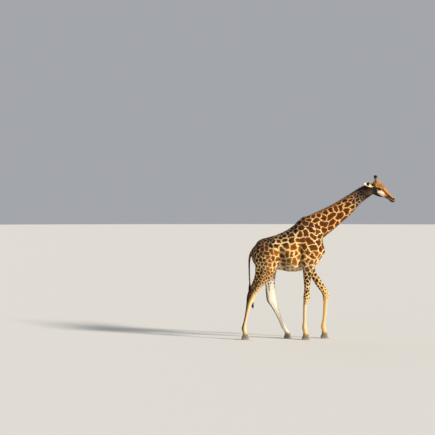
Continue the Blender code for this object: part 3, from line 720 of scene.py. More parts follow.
def head_balls():
    """Chin, brow, eye rims, lids, feet of horns and ears, and the nostrils cut into the nose."""
    _, along, up, side = HEAD_FRAME
    axes = np.array([along, side, up])
    made = [Ball(on_head(*place), sizes, axes, join) for place, sizes, join in MIDDLE_BALLS]
    for out in SIDES.values():
        for place, sizes, join, grow in SIDE_BALLS:
            made.append(Ball(on_side(place, out), sizes, axes, join, grow=grow))
        tilt = (turned("Y", NOSTRIL_DROP) @ turned("Z", NOSTRIL_TURN * out)).T @ axes
        made.append(Ball(on_side(NOSTRIL, out), NOSTRIL_SIZES, tilt, 0.006, True))
    return made


SOLIDS = [*FORMS.values(), *muscle_balls(), *head_balls()]
SOLIDS += [EyeOpening(out) for out in SIDES.values()]


# ------ grid and surface
def grid_lines():
    """Stations of the grid's columns along X, and the cell size at each."""
    x = np.linspace(*GRID_X, GRID_TRIALS)
    step = BODY_CELL + (HEAD_CELL - BODY_CELL) * beyond(x, SHRINK_FROM, SHRINK_TO - SHRINK_FROM)
    count = np.concatenate([[0], np.cumsum((x[1] - x[0]) / step[1:])])
    stations = np.interp(np.arange(int(count[-1])), count, x)
    return stations, np.interp(stations, x, step)


def span(low, high, cells, reach, first):
    """Grid numbers that take in low to high for every cell size given."""
    ends = np.concatenate([low / cells, high / cells])
    start = int(np.floor(ends.min())) - first - 1
    end = int(np.ceil(ends.max())) - first + 2
    return slice(max(start, 0), min(max(end, 0), reach))


def reach_of(solid):
    """The box past which a solid changes nothing near the surface."""
    margin = solid.join + BOX_MARGIN
    return solid.box[0] - margin, solid.box[1] + margin


def merged(field, solid, x, y, z):
    """The field with one solid joined to it, or cut from it."""
    merge = soft_cut if solid.cuts else soft_union
    return merge(field, np.minimum(solid.distance(x, y, z), FAR), solid.join)


def body_field(stations, cells):
    """The smooth union of all solids on the grid, worked out a slab of columns at a time."""
    sides = np.arange(*GRID_SIDE)
    heights = np.arange(*GRID_HEIGHT)
    field = np.full((len(stations), len(sides), len(heights)), FAR, np.float32)
    for start in range(0, len(stations), SLAB):
        here = slice(start, start + SLAB)
        slab = field[here]
        x, cell = stations[here, None, None], cells[here, None, None]
        for solid in SOLIDS:
            low, high = reach_of(solid)
            if high[0] < x.min() or low[0] > x.max():
                continue
            ends = np.array([cell.min(), cell.max()])
            across = span(low[1], high[1], ends, len(sides), GRID_SIDE[0])
            low_z, high_z = low[2] - GRID_LEVEL, high[2] - GRID_LEVEL
            levels = span(low_z, high_z, ends, len(heights), GRID_HEIGHT[0])
            y = sides[None, across, None] * cell
            z = GRID_LEVEL + heights[None, None, levels] * cell
            block = slab[:, across, levels]
            block[:] = merged(block, solid, x, y, z)
        z = GRID_LEVEL + heights[None, None, :] * cell
        np.maximum(slab, CORONET - z, out=slab)
    return field


def net_of(field):
    """One point in each mixed cell, at the mean of its edges' crossings, and quads between them.

    Points are in grid numbers.
    """
    inside = field < 0
    count = inside.astype(np.uint8)
    count = count[1:] + count[:-1]
    count = count[:, 1:] + count[:, :-1]
    count = count[:, :, 1:] + count[:, :, :-1]
    mixed = (count > 0) & (count < 8)
    cells = np.argwhere(mixed)
    number = np.full(mixed.shape, -1, np.int32)
    number[mixed] = np.arange(len(cells))
    total, hits = np.zeros((len(cells), 3)), np.zeros(len(cells))
    quads = []
    for axis in range(3):
        step = np.eye(3, dtype=int)[axis]
        second, third = np.roll(step, 1), np.roll(step, 2)
        for offset in (0 * step, second, third, second + third):
            near, far = (field[tuple((cells + o).T)] for o in (offset, offset + step))
            crosses = (near < 0) != (far < 0)
            share = near[crosses] / (near[crosses] - far[crosses])
            total[crosses] += offset + share[:, None] * step
            hits += crosses
        at = np.argwhere(np.diff(inside, axis=axis))
        at = at[(at[:, (axis + 1) % 3] > 0) & (at[:, (axis + 2) % 3] > 0)]
        round_edge = (0 * step, second, second + third, third)
        quad = np.stack([number[tuple((at - o).T)] for o in round_edge], axis=1)
        leaving = inside[tuple(at.T)]
        quads.append(np.where(leaving[:, None], quad, quad[:, ::-1]))
    return cells + total / hits[:, None], np.vstack(quads)


def skin_surface():
    """Points and quads of the one closed skin, in metres."""
    stations, cells = grid_lines()
    points, quads = net_of(body_field(stations, cells))
    numbers = np.arange(len(stations))
    cell = np.interp(points[:, 0], numbers, cells)
    x = np.interp(points[:, 0], numbers, stations)
    y = (points[:, 1] + GRID_SIDE[0]) * cell
    z = GRID_LEVEL + (points[:, 2] + GRID_HEIGHT[0]) * cell
    return settled(np.stack([x, y, z], axis=1), quads), quads


def field_at(points):
    """The same union of all solids, at scattered points."""
    found = np.full(len(points), FAR)
    for solid in SOLIDS:
        low, high = reach_of(solid)
        near = np.all((points > low) & (points < high), axis=1)
        found[near] = merged(found[near], solid, *points[near].T)
    return np.maximum(found, CORONET - points[:, 2])


def slope_at(points, reach=0.001):
    """The field and its slope, by steps to both sides of each point."""
    steps = np.eye(3) * reach
    slope = [field_at(points + step) - field_at(points - step) for step in steps]
    return field_at(points), np.stack(slope, axis=1) / (2 * reach)


def eased(points, quads, share):
    """Each point moved a share of the way to the mean of its neighbours."""
    ends = np.concatenate([quads[:, [a, (a + 1) % 4]] for a in range(4)])
    count = np.bincount(ends[:, 0], minlength=len(points))
    mean = [np.bincount(ends[:, 0], points[ends[:, 1], a], len(points)) for a in range(3)]
    return points + share * (np.stack(mean, axis=1) / count[:, None] - points)


SETTLE_ROUNDS = 2
SETTLE_EASE = 0.6  # share of the way to the neighbours' mean
SETTLE_REACH = 0.3  # longest step back to the field's zero, in cells
LEAST_SLOPE = 0.25  # of the field, squared


def settled(points, quads):
    """Points spread evenly by easing, each time set back on the field's zero."""
    reach = SETTLE_REACH * np.interp(points[:, 0], *grid_lines())
    for _ in range(SETTLE_ROUNDS):
        points = eased(points, quads, SETTLE_EASE)
        found, slope = slope_at(points)
        step = found / np.maximum(np.sum(slope**2, axis=1), LEAST_SLOPE)
        points = points - np.clip(step, -reach, reach)[:, None] * slope
    return points


# ------ regions and markings
REGION_BLEND = 0.020  # over which one region's colours run into the next's
SCREEN_POWER = 2.2  # of the light reflected, over the colour as it is seen


def colour(red, green, blue):
    """A colour as it is seen, turned into the light that it reflects."""
    return np.array([red, green, blue]) ** SCREEN_POWER


CREAM = colour(0.99, 0.86, 0.60)
SAND = colour(0.90, 0.73, 0.48)
OAT = colour(0.90, 0.77, 0.57)
STONE = colour(0.70, 0.59, 0.46)
TAN = colour(0.82, 0.62, 0.36)
ORANGE = colour(0.84, 0.53, 0.26)
GOLDEN = colour(0.62, 0.37, 0.09)
CHESTNUT = colour(0.45, 0.22, 0.030)
BROWN = colour(0.30, 0.14, 0.025)
UMBER = colour(0.17, 0.10, 0.04)
BLACK = colour(0.070, 0.055, 0.048)
GREY_BROWN = colour(0.44, 0.36, 0.28)
# Grey of painted shade, under the head and on the upper neck.
SHADE_GREY = colour(0.31, 0.275, 0.24)
WHITE = colour(0.98, 0.93, 0.81)
CHALK = colour(0.96, 0.93, 0.86)


def region_weights(points):
    """The share that each form has in the skin's look at each point: exp(-distance / blend)."""
    away = np.stack([form.distance(*points.T) for form in FORMS.values()])
    weights = np.exp(-(away - away.min(axis=0)) / REGION_BLEND)
    return dict(zip(FORMS, weights / weights.sum(axis=0)))


def ramp(station, *stops):
    """A value or a colour run straight from stop to stop: (station, value), ..."""
    places = [place for place, _ in stops]
    values = np.array([np.atleast_1d(value) for _, value in stops], float)
    found = np.stack([np.interp(station, places, v) for v in values.T], axis=-1)
    return found if found.shape[-1] > 1 else found[..., 0]


def painted(ground, *layers):
    """A ground under layers of (share, colour), laid on in turn: a (1 - share) + b share."""
    for share, paint in layers:
        share = np.clip(share, 0, 1)[:, None]
        ground = ground * (1 - share) + paint * share
    return ground


def waves(points, length, seed, count=9):
    """Smooth noise of three values: the mean of sines that run in chance directions."""
    chance = np.random.default_rng(seed)
    total = np.zeros((len(points), 3))
    for _ in range(count):
        way = unit(chance.normal(size=3)) * 2 * math.pi / (length * chance.uniform(0.7, 1.5))
        total += np.sin(points @ way + chance.uniform(0, 6.3))[:, None] * unit(chance.normal(size=3))
    return total / math.sqrt(count)


def wave_sum(points, parts):
    """Waves of several lengths together, each with its own start of chance and reach."""
    return sum(waves(points, length, seed) * reach for length, seed, reach in parts)


# The face's mottling and the ragged edges of its marks: the waves' length, the
# start of their chance and their reach.
FACE_GRAIN = ((0.075, 61, 0.40), (0.022, 63, 0.15))
FACE_RAGGED = ((0.045, 65, 0.006), (0.016, 67, 0.003))


# A look is four things at each point: the spacing of the patches, half the
# width of the line between them, the ground's colour and the patches' colour.
def trunk_look(points):
    """Large patches on the shoulder, small dark ones on back and rump, faint ones below. Painted shade
    greys the hollows of the flank and behind the arm, and in part the rump.
    """
    t, rise, _ = FORMS["trunk"].shares(*points.T)
    z = points[:, 2]
    rump = before(t, -0.90, 0.35)
    back = beyond(rise, 0.52, 0.30) * before(t, -0.02, 0.15)
    upper = beyond(rise, 0.20, 0.30) * before(t, -0.30, 0.2)
    belly = before(z, 1.86, 0.30)
    shoulder = beyond(t, -0.55, 0.25) * beyond(z, 1.85, 0.3)
    # Painted shade: the flank's hollow before the thigh and the band behind the arm are greyed and
    # darkened, as where shade falls.
    flank = bell(t, -0.83 - 0.10 * rise, 0.075) * before(rise, 0.30, 0.35)
    behind_arm_shade = bell(t, -0.40, 0.045) * bell(rise, -0.30, 0.45)
    hollow = np.maximum(flank, behind_arm_shade) * 0.8
    spacing = 0.166 + 0.032 * shoulder - 0.040 * back - 0.052 * rump - 0.02 * belly
    line = 0.0142 - 0.0040 * shoulder - 0.006 * back + 0.007 * belly - 0.0086 * rump
    ground = painted(
        CREAM,
        (back * 0.95, STONE * 0.85),
        # The rump's grey ground is partly painted shade.
        (rump * 0.9, STONE * 0.72),
        (belly * 0.6, WHITE),
        (hollow, STONE * 0.75),
    )
    patch = painted(
        GOLDEN * 1.2,
        (shoulder, CHESTNUT * 0.95),
        (upper * 0.85, BROWN * 0.6),
        (back, BROWN * 0.36),
        # The rump's dark patches are partly its own and partly painted shade.
        (rump * 0.95, UMBER * 0.70),
        (belly * 0.7, SAND * 0.85),
        (hollow, UMBER),
    )
    return spacing, np.maximum(line, 0.0050), ground, patch


def neck_look(points):
    """Large patches that shrink towards the head, where painted shade greys the ground and darkens the
    patches.
    """
    t, rise, _ = FORMS["neck"].shares(*points.T)
    crest = beyond(rise, 0.55, 0.35)
    front = before(rise, -0.55, 0.35)
    lower = 1 - beyond(t, 0.90, 0.30)
    spacing = ramp(t, (0.0, 0.175), (0.45, 0.180), (0.85, 0.155), (1.15, 0.082), (1.4, 0.058))
    line = ramp(t, (0.0, 0.0095), (0.8, 0.0090), (1.15, 0.0070), (1.4, 0.0060))
    # Painted shade: towards the head the ground turns grey and the patches near black, as in the shade
    # under the head.
    ground = ramp(
        t, (0, CREAM), (0.5, SAND * 1.1), (0.9, SAND * 1.05), (1.12, STONE * 0.95), (1.32, SHADE_GREY * 0.62)
    )
    ground = painted(ground, (crest * 0.70 * lower, ORANGE), (front * 0.45 * lower, TAN))
    patch = ramp(t, (0, CHESTNUT * 0.95), (0.8, CHESTNUT * 0.85), (1.15, UMBER * 1.1), (1.35, UMBER * 0.45))
    patch = painted(patch, (front * 0.6 * lower, GOLDEN * 0.8), (crest * 0.5, BROWN))
    return spacing * (1 - 0.28 * crest), line, ground, patch


def head_look(points):
    """Tan brow and nose with small spots, white cheek, dark muzzle, poll and eye rims. Painted shade greys
    the temple, the throat and the underside, and blackens the lips' parting.
    """
    t, rise, _ = FORMS["head"].place(*points.T)
    grain = 0.38 + wave_sum(points, FACE_GRAIN)[:, 0]
    ragged = wave_sum(points, FACE_RAGGED)
    t, rise = t + ragged[:, 0], rise + ragged[:, 1] * before(t, 0.36, 0.04)
    lips = mouth_line(t)
    brow = bell(t, 0.02, 0.05) * beyond(rise, 0.09, 0.05)
    ridge = beyond(rise, 0.105 - 0.13 * (t - 0.2), 0.02) * beyond(t, 0.15, 0.1)
    # Painted shade: the temple behind the cheek, the throat and, below, the head's underside are greyed as
    # in shade.
    temple = before(t, 0.085, 0.030) * before(rise, 0.085, 0.03)
    throat = before(t, 0.140, 0.03) * before(rise, 0.012, 0.025)
    poll = before(t, -0.040, 0.030) * beyond(rise, 0.02, 0.06)
    cheek = smooth(1.35 - np.hypot((t - 0.200) / 0.095, (rise + 0.018 + 0.15 * (t - 0.19)) / 0.055))
    below = before(rise, -0.050, 0.02)
    streak = bell(rise, 0.030 - 0.16 * (t - 0.2), 0.010) * window(t, 0.14, 0.26, 0.03)
    stripe = bell(rise, 0.056 - 0.14 * (t - 0.2), 0.017) * window(t, 0.15, 0.36, 0.04)
    nose = beyond(rise, 0.040 - 0.10 * (t - 0.40), 0.014) * before(t, 0.51, 0.05)
    muzzle = beyond(t, 0.300, 0.07) * (1 - 0.85 * nose)
    lower_lip = before(rise, lips - 0.006, 0.01) * window(t, 0.40, 0.50, 0.03)
    upper_lip = bell(rise, lips + 0.017, 0.009) * window(t, 0.39, 0.51, 0.03)
    # Painted shade: the lips' parting is painted black, as the shade in its crease.
    mouth = bell(rise, lips, 0.007) * beyond(t, 0.37, 0.04)
    ground = painted(
        ORANGE * 0.80,
        (grain, TAN * 1.1),
        (brow * 0.5, SAND),
        (ridge * 0.55, SAND),
        (np.maximum(temple, throat) * 0.95, SHADE_GREY * 0.34),
        (poll, BLACK * 1.6),
        (cheek * 1.7, WHITE * 1.12),
        (below * 0.95, SHADE_GREY * 0.26),
        (streak * 0.8, CREAM),
        (stripe * 0.92, BROWN * 0.65),
        (muzzle, GREY_BROWN * 0.27),
        (lower_lip * 0.3, STONE),
        (upper_lip * 0.75, STONE * [1.5, 1.5, 1.7]),
        (beyond(t, 0.515, 0.03) * 0.5, TAN * 0.8),
        (mouth * 0.95, BLACK),
    )
    for out in (1, -1):
        nostril = np.linalg.norm(points - on_side(NOSTRIL, out), axis=1)
        eye = points - on_side(EYE_PLACE, out)
        gaze, fore, upper = (eye @ axis for axis in eye_axes(out))
        above = np.hypot(fore / 0.045, (upper - 0.036) / 0.016)
        ring = np.hypot((fore + 0.004) / 0.060, (upper + 0.004) / 0.034)
        ground = painted(
            ground,
            (smooth(1.5 - nostril / 0.018), BLACK),
            (smooth(1.5 - above) * 0.6, SAND),
            (before(ring, 1.35, 0.5) * smooth(gaze / 0.01), BLACK),
        )
    spotted = before(t, 0.25, 0.06) * beyond(rise, 0.055 - 0.10 * (t - 0.1), 0.03)
    line = 0.038 - 0.031 * np.maximum(spotted, before(t, 0.01, 0.04))
    return np.full(len(t), 0.050), line, ground, painted(ground, (np.full(len(t), 0.80), BROWN))


def foreleg_look(z, rise, inside):
    """Spots down to below the knee, the same on both sides, over a plain pale cannon whose rear carries
    golden painted shade.
    """
    outside = 1 - inside
    # Painted shade: the rear of the lower leg is tinted darker gold, as shade with a golden reflected
    # light.
    rear = before(rise, 0.15, 0.6)
    spacing = ramp(z, (0.80, 0.045), (1.05, 0.067), (1.35, 0.094), (1.75, 0.140))
    line = ramp(z, (0.62, 0.050), (0.80, 0.0125), (1.10, 0.0075), (1.50, 0.0075), (1.8, 0.0105))
    line = line + 0.005 * inside * before(z, 1.7, 0.2)
    ground = painted(
        CREAM,
        (inside * 0.9, SAND),
        (before(z, 0.95, 0.3) * 0.8 * outside, OAT),
        (beyond(z, 1.15, 0.4) * 0.6 * outside, STONE),
        (rear * window(z, 0.3, 1.0, 0.2) * 0.5 * outside, GOLDEN * 1.1),
    )
    patch = ramp(z, (0.95, BROWN * 0.8), (1.5, BROWN * 0.75), (1.8, CHESTNUT * 0.80))
    return spacing, line, ground, patch


def hindleg_look(z, rise, inside):
    """Spots down to the hock, a nearly white inner side, and painted shade that darkens the rear round the
    hock and down the cannon, and the rear edge.
    """
    outside = 1 - inside
    rear = before(rise, 0.15, 0.6)
    shin = beyond(rise, -0.30, 0.30)
    # Painted shade: shade darkens the rear round the hock, rear the back of the lower leg and edge its rear
    # edge, as where shade falls.
    shade = window(z, 1.00, 1.20, 0.25) * before(rise, 0.50, 0.6)
    edge = before(rise, -0.45, 0.30) * window(z, 0.42, 1.10, 0.15)
    spacing = ramp(z, (0.95, 0.038), (1.25, 0.060), (1.55, 0.092), (1.9, 0.108))
    line = ramp(z, (0.84, 0.050), (0.98, 0.0120), (1.25, 0.0075), (1.60, 0.0060))
    line = line + 0.008 * inside * before(z, 1.66, 0.15)
    ground = painted(
        CREAM,
        (inside * 0.9, CHALK),
        (window(z, 0.98, 1.50, 0.20) * outside * (0.75 - 0.40 * shin), TAN * 0.62),
        (shade * 0.72 * (1 - 0.9 * inside), UMBER * 1.5),
        (before(z, 0.95, 0.3) * 0.8 * outside, OAT * 0.94),
        (rear * window(z, 0.30, 1.0, 0.25) * 0.9 * outside, UMBER * 1.1),
        (edge * (0.9 - 0.3 * inside), UMBER * 0.6),
    )
    patch = painted(
        ramp(z, (1.0, UMBER * 0.4), (1.4, UMBER * 0.8), (1.8, BROWN)),
        (shin * beyond(z, 1.2, 0.3) * 0.75, GOLDEN * 0.95),
        (inside * 0.85, STONE * 0.8),
    )
    return spacing, line, ground, patch


def leg_look(points, name):
    """The look of one leg, with a grey-brown foot."""
    form, look = FORMS[name], foreleg_look if name.startswith("fore") else hindleg_look
    _, rise, side = form.shares(*points.T)
    inside = beyond(-side * np.sign(form.table[0, 3]), 0.15, 0.5)
    spacing, line, ground, patch = look(points[:, 2], rise, inside)
    return spacing, line, painted(ground, (before(points[:, 2], 0.19, 0.08) * 0.6, GREY_BROWN)), patch


def tail_look(points):
    """A few patches at the root, then brown that darkens to black at the tuft."""
    z = points[:, 2]
    ground = ramp(z, (1.25, BLACK), (1.50, UMBER), (1.8, BROWN), (2.0, STONE))
    line = ramp(z, (1.6, 0.06), (1.9, 0.008))
    return np.full(len(z), 0.05), line, ground, ramp(z, (1.3, BLACK), (2, UMBER))


LOOKS = {"trunk": trunk_look, "neck": neck_look, "head": head_look, "tail": tail_look}
LEGS = ("foreleg_right", "foreleg_left", "hindleg_right", "hindleg_left")


def region_looks(points):
    """Each region's look, mixed by the regions' weights."""
    weights = region_weights(points)
    looks = {name: look(points) for name, look in LOOKS.items()}
    looks.update({leg: leg_look(points, leg) for leg in LEGS})
    parts = [
        sum((look[part].T * weights[name]).T for name, look in looks.items()) for part in range(4)
    ]
    return weights, parts


BEND = 0.045  # how far a turned skin counts as being away
SEED_TRIES = 36000  # points tried as centres of patches
NEAREST_SHARES = (0.60, 0.95)  # of the spacing, the least distance between two centres
NECK_SHORTEN = 0.26  # by which patches are longer along the neck than across it
NECK_START, NECK_EASE = 0.15, 0.2  # where that begins along the neck, and over what length
# Waves that bend the patches' borders: wave length, start of their chance, and
# how far they move a point, as a share of the spacing.
BORDER_WAVES = ((0.30, 3, 0.23), (0.12, 5, 0.105), (0.05, 7, 0.038))
CORNER_ROUNDING = 0.022  # share of the spacing over which a patch's corners are rounded
RIVALS = 6  # nearest centres that can share a border with a patch
CHUNK = 4000  # points compared with the centres at a time
PATCH_TONES = (0.72, 1.25)
PATCH_WIDENING = (-0.0020, 0.0022)  # of the line round each patch


def patch_places(points, normals):
    """Where each point lies for the patches, as six numbers.

    They are its position, shortened along the neck, and its normal times a
    bend, so that the far side of a thin limb counts as far away.
    """
    origin, along = NECK_FRAME[:2]
    t = (points - origin) @ along
    shorter = NECK_SHORTEN * NECK_EASE * np.logaddexp(0, (t - NECK_START) / NECK_EASE)
    return np.hstack([points - shorter[:, None] * along, normals * BEND])


def patch_centres(places, spacing):
    """Centres at least a share of the spacing apart, tried in a chance order, then evened out once."""
    chance = np.random.default_rng(CENTRES_SEED)
    order = chance.permutation(len(places))[:SEED_TRIES]
    kept = np.empty((0, 6))
    for number in order:
        place = places[number]
        apart = chance.uniform(*NEAREST_SHARES) * spacing[number]
        if not len(kept) or np.min(np.sum((kept - place) ** 2, axis=1)) > apart * apart:
            kept = np.vstack([kept, place])
    nearest = nearest_centres(places, kept, 1)[0][:, 0]
    weight = 1 / spacing**2
    total = np.bincount(nearest, weight, len(kept))[:, None]
    mean = [np.bincount(nearest, places[:, a] * weight, len(kept)) for a in range(6)]
    return np.where(total > 0, np.stack(mean, axis=1) / np.maximum(total, 1e-9), kept)


def nearest_centres(places, centres, count):
    """Numbers and squared distances of the nearest centres, nearest first."""
    found, away = [], []
    for start in range(0, len(places), CHUNK):
        part = places[start : start + CHUNK]
        square = np.sum(part**2, axis=1)[:, None] - 2 * part @ centres.T + np.sum(centres**2, axis=1)
        near = np.argpartition(square, count, axis=1)[:, :count]
        value = np.take_along_axis(square, near, axis=1)
        order = np.argsort(value, axis=1)
        found.append(np.take_along_axis(near, order, axis=1))
        away.append(np.take_along_axis(value, order, axis=1))
    return np.vstack(found), np.vstack(away)


def patch_edges(points, places, centres, spacing):
    """Distance of each point from the border of its patch, and the patch's number.

    The border with another centre lies midway, so the distance from it is the
    difference of the squared distances over twice the centres' distance. The
    least of them is taken softly: -soft log(sum(exp(-border / soft))).
    """
    swing = wave_sum(points, BORDER_WAVES)
    moved = places.copy()
    moved[:, :3] += swing * spacing[:, None]
    near, away = nearest_centres(moved, centres, RIVALS)
    apart = np.linalg.norm(centres[near[:, 1:]] - centres[near[:, :1]], axis=2)
    border = (away[:, 1:] - away[:, :1]) / (2 * apart)
    soft = CORNER_ROUNDING * spacing[:, None]
    edge = -soft[:, 0] * np.log(np.sum(np.exp(-border / soft), axis=1))
    return edge, near[:, 0]


def marked(points, normals):
    """Markings of every skin point: colours of the ground and of its patch, and the patch's edge."""
    weights, (spacing, line, ground, patch) = region_looks(points)
    places = patch_places(points, normals)
    centres = patch_centres(places, spacing)
    edge, number = patch_edges(points, places, centres, spacing)
    chance = np.random.default_rng(TONES_SEED)
    tone = chance.uniform(*PATCH_TONES, len(centres))[number]
    widen = chance.uniform(*PATCH_WIDENING, len(centres))[number]
    return weights, ground, patch * tone[:, None], edge - line - widen


# ------ meshes
def placed(name, thing):
    """An object that shows a mesh, a lamp or a camera, put into the scene."""
    made = bpy.data.objects.new(name, thing)
    bpy.context.scene.collection.objects.link(made)
    return made


def set_values(mesh, values):
    """Gives a mesh named numbers, or triples of numbers, at its points."""
    for key, value in values.items():
        value = np.asarray(value, np.float32)
        single = value.ndim == 1 or value.shape[1] == 1
        kind, field = ("FLOAT", "value") if single else ("FLOAT_VECTOR", "vector")
        mesh.attributes.new(key, kind, "POINT").data.foreach_set(field, value.ravel())


def add_mesh(name, points, faces, material, values, places=None, flat=False):
    """A mesh of faces that all have as many corners, with values at its points and a bake map."""
    mesh = bpy.data.meshes.new(name)
    mesh.vertices.add(len(points))
    mesh.vertices.foreach_set("co", np.asarray(points, np.float32).ravel())
    mesh.loops.add(faces.size)
    mesh.loops.foreach_set("vertex_index", faces.astype(np.int32).ravel())
    mesh.polygons.add(len(faces))
    starts = np.arange(len(faces), dtype=np.int32) * faces.shape[1]
    mesh.polygons.foreach_set("loop_start", starts)
    mesh.update(calc_edges=True)
    set_values(mesh, values)
    if places is not None:
        mesh.uv_layers.new(name="OFBake").data.foreach_set("uv", places[faces.ravel()].ravel())
    if not flat:
        mesh.shade_smooth()
    mesh.materials.append(material)
    return placed(name, mesh)


def quad_normals(points, quads):
    """The normal of each quad, twice as long as the quad's area."""
    a, b, c, d = (points[corner] for corner in quads.T)
    return np.cross(c - a, d - b)


def point_normals(points, quads):
    """The mean of the quads' normals round each point, weighed by their areas."""
    normals = quad_normals(points, quads).T
    total = [sum(np.bincount(corner, part, len(points)) for corner in quads.T) for part in normals]
    return unit(np.stack(total, axis=1))


def grid_faces(rows, columns):
    """Quads over a grid numbered row by row, with its last column joined to its first."""
    across = np.arange(columns)
    first = np.arange(rows - 1)[:, None] * columns
    a, b = first + across, first + (across + 1) % columns
    return np.stack([a, b, b + columns, a + columns], axis=-1).reshape(-1, 4)


LOCK_SIDES = 3
# A lock's section: how far each corner is to its side, and how far up.
LOCK_OUT = np.array([0.0, -1.0, 1.0])
LOCK_UP = np.array([1.0, -0.25, -0.25])


def locks(paths, widths, thick, sides):
    """Three-sided tapering locks along many paths at once.

    paths is locks x stations x 3 and its last station is the tip. widths is
    the half width at each station but the last, thick its share across, and
    sides the way of each lock's width. Returns points, triangles and the
    number of points to a lock.
    """
    count, stations = paths.shape[:2]
    ways = unit(np.gradient(paths, axis=1))[:, :-1]
    sides = unit(sides[:, None, :] - ways * np.sum(sides[:, None, :] * ways, axis=2, keepdims=True))
    uppers = np.cross(ways, sides)
    corners = LOCK_OUT[:, None] * sides[:, :, None] + (LOCK_UP * thick)[:, None] * uppers[:, :, None]
    rings = paths[:, :-1, None] + widths[..., None, None] * corners
    points = np.concatenate([rings.reshape(count, -1, 3), paths[:, -1:]], axis=1)
    per_lock = points.shape[1]
    faces = [(0, 2, 1)]
    for row in range(stations - 2):
        for a in range(LOCK_SIDES):
            b = (a + 1) % LOCK_SIDES
            low, high = row * LOCK_SIDES, (row + 1) * LOCK_SIDES
            faces += [(low + a, low + b, high + b), (low + a, high + b, high + a)]
    last = (stations - 2) * LOCK_SIDES
    faces += [(last + a, last + (a + 1) % LOCK_SIDES, per_lock - 1) for a in range(LOCK_SIDES)]
    faces = np.array(faces)[None] + np.arange(count)[:, None, None] * per_lock
    return points.reshape(-1, 3), faces.reshape(-1, 3), per_lock


PATCH = 0.003  # side of a lock's patch on the bake map
STRIP_MARGIN = 0.02  # of each form's strip on the bake map


def bake_places(roots, per_lock):
    """Each lock's points spread round a small circle at its root's place on the map."""
    turn = np.arange(per_lock) * 2 * math.pi / per_lock
    ring = np.stack([np.cos(turn), np.sin(turn)], axis=1) * PATCH / 2
    return (np.clip(roots, PATCH, 1 - PATCH)[:, None] + ring).reshape(-1, 2)


# ------ materials
# Tints of the coat and the hair, as the light that they reflect.
PATCH_HEART = (0.045, 0.020, 0.008, 1)
PATCH_WARM = (0.26, 0.105, 0.030, 1)
GROUND_WARM = (0.60, 0.33, 0.12, 1)
FLECK_SHADE = (0.55, 0.50, 0.45, 1)
SHEEN_TINT = (1.0, 0.80, 0.55, 1)
HAIR_DARK = (0.022, 0.014, 0.010, 1)
HAIR_SHADE = (0.42, 0.40, 0.40, 1)


def new_material(name, **settings):
    """A plain shader and its node tree. Its inputs are named with _ for a space."""
    material = bpy.data.materials.new(name)
    material.use_nodes = True
    shader = material.node_tree.nodes["Principled BSDF"]
    for key, value in settings.items():
        shader.inputs[key.replace("_", " ")].default_value = value
    return material, material.node_tree, shader


def node(tree, kind, settings=None, **inputs):
    """Adds a node, sets its settings and its inputs, and links inputs that are sockets."""
    made = tree.nodes.new(kind)
    for key, value in (settings or {}).items():
        setattr(made, key, value)
    for key, value in inputs.items():
        socket = made.inputs[int(key[1:])] if key[0] == "i" and key[1:].isdigit() else made.inputs[key]
        if isinstance(value, bpy.types.NodeSocket):
            tree.links.new(value, socket)
        else:
            socket.default_value = value
    return made


def noise(tree, place, scale, detail=2.0):
    """Smooth noise from 0 to 1 at a place, scale to the metre."""
    return node(tree, "ShaderNodeTexNoise", Vector=place, Scale=scale, Detail=detail).outputs[0]


def sums(tree, how, a, b):
    """Two values taken together: how is ADD, SUBTRACT, MULTIPLY or ARCTAN2."""
    return node(tree, "ShaderNodeMath", {"operation": how}, i0=a, i1=b).outputs[0]


def swung(tree, total, *swings):
    """A value moved both ways by (noise, reach): total + sum of (noise - 1/2) reach."""
    for value, reach in swings:
        value = sums(tree, "MULTIPLY", sums(tree, "SUBTRACT", value, 0.5), reach)
        total = sums(tree, "ADD", total, value)
    return total


def colour_mix(tree, share, a, b, how="MIX"):
    """a mixed with b by a share. Colours may be sockets or four numbers."""
    made = node(tree, "ShaderNodeMix", {"data_type": "RGBA", "blend_type": how}, i0=share, i6=a, i7=b)
    return made.outputs[2]


def value_ramp(tree, value, low, high, to_low=0.0, to_high=1.0):
    """A value run smoothly from to_low to to_high between low and high."""
    inputs = {"Value": value, "From Min": low, "From Max": high, "To Min": to_low, "To Max": to_high}
    made = node(tree, "ShaderNodeMapRange", {"interpolation_type": "SMOOTHSTEP"}, **inputs)
    return made.outputs[0]


def attribute(tree, name, output="Vector"):
    """What a mesh's point values of a name say: a Vector, or a single value as Fac."""
    return node(tree, "ShaderNodeAttribute", {"attribute_name": name}).outputs[output]


def object_place(tree):
    """The place in metres, which is the same in the object's frame as in the world."""
    return node(tree, "ShaderNodeTexCoord").outputs["Object"]


def roughened(tree, shader, height, strength, distance):
    """Gives a shader the relief of a height."""
    bump = node(tree, "ShaderNodeBump", Strength=strength, Distance=distance, Height=height)
    tree.links.new(bump.outputs[0], shader.inputs["Normal"])


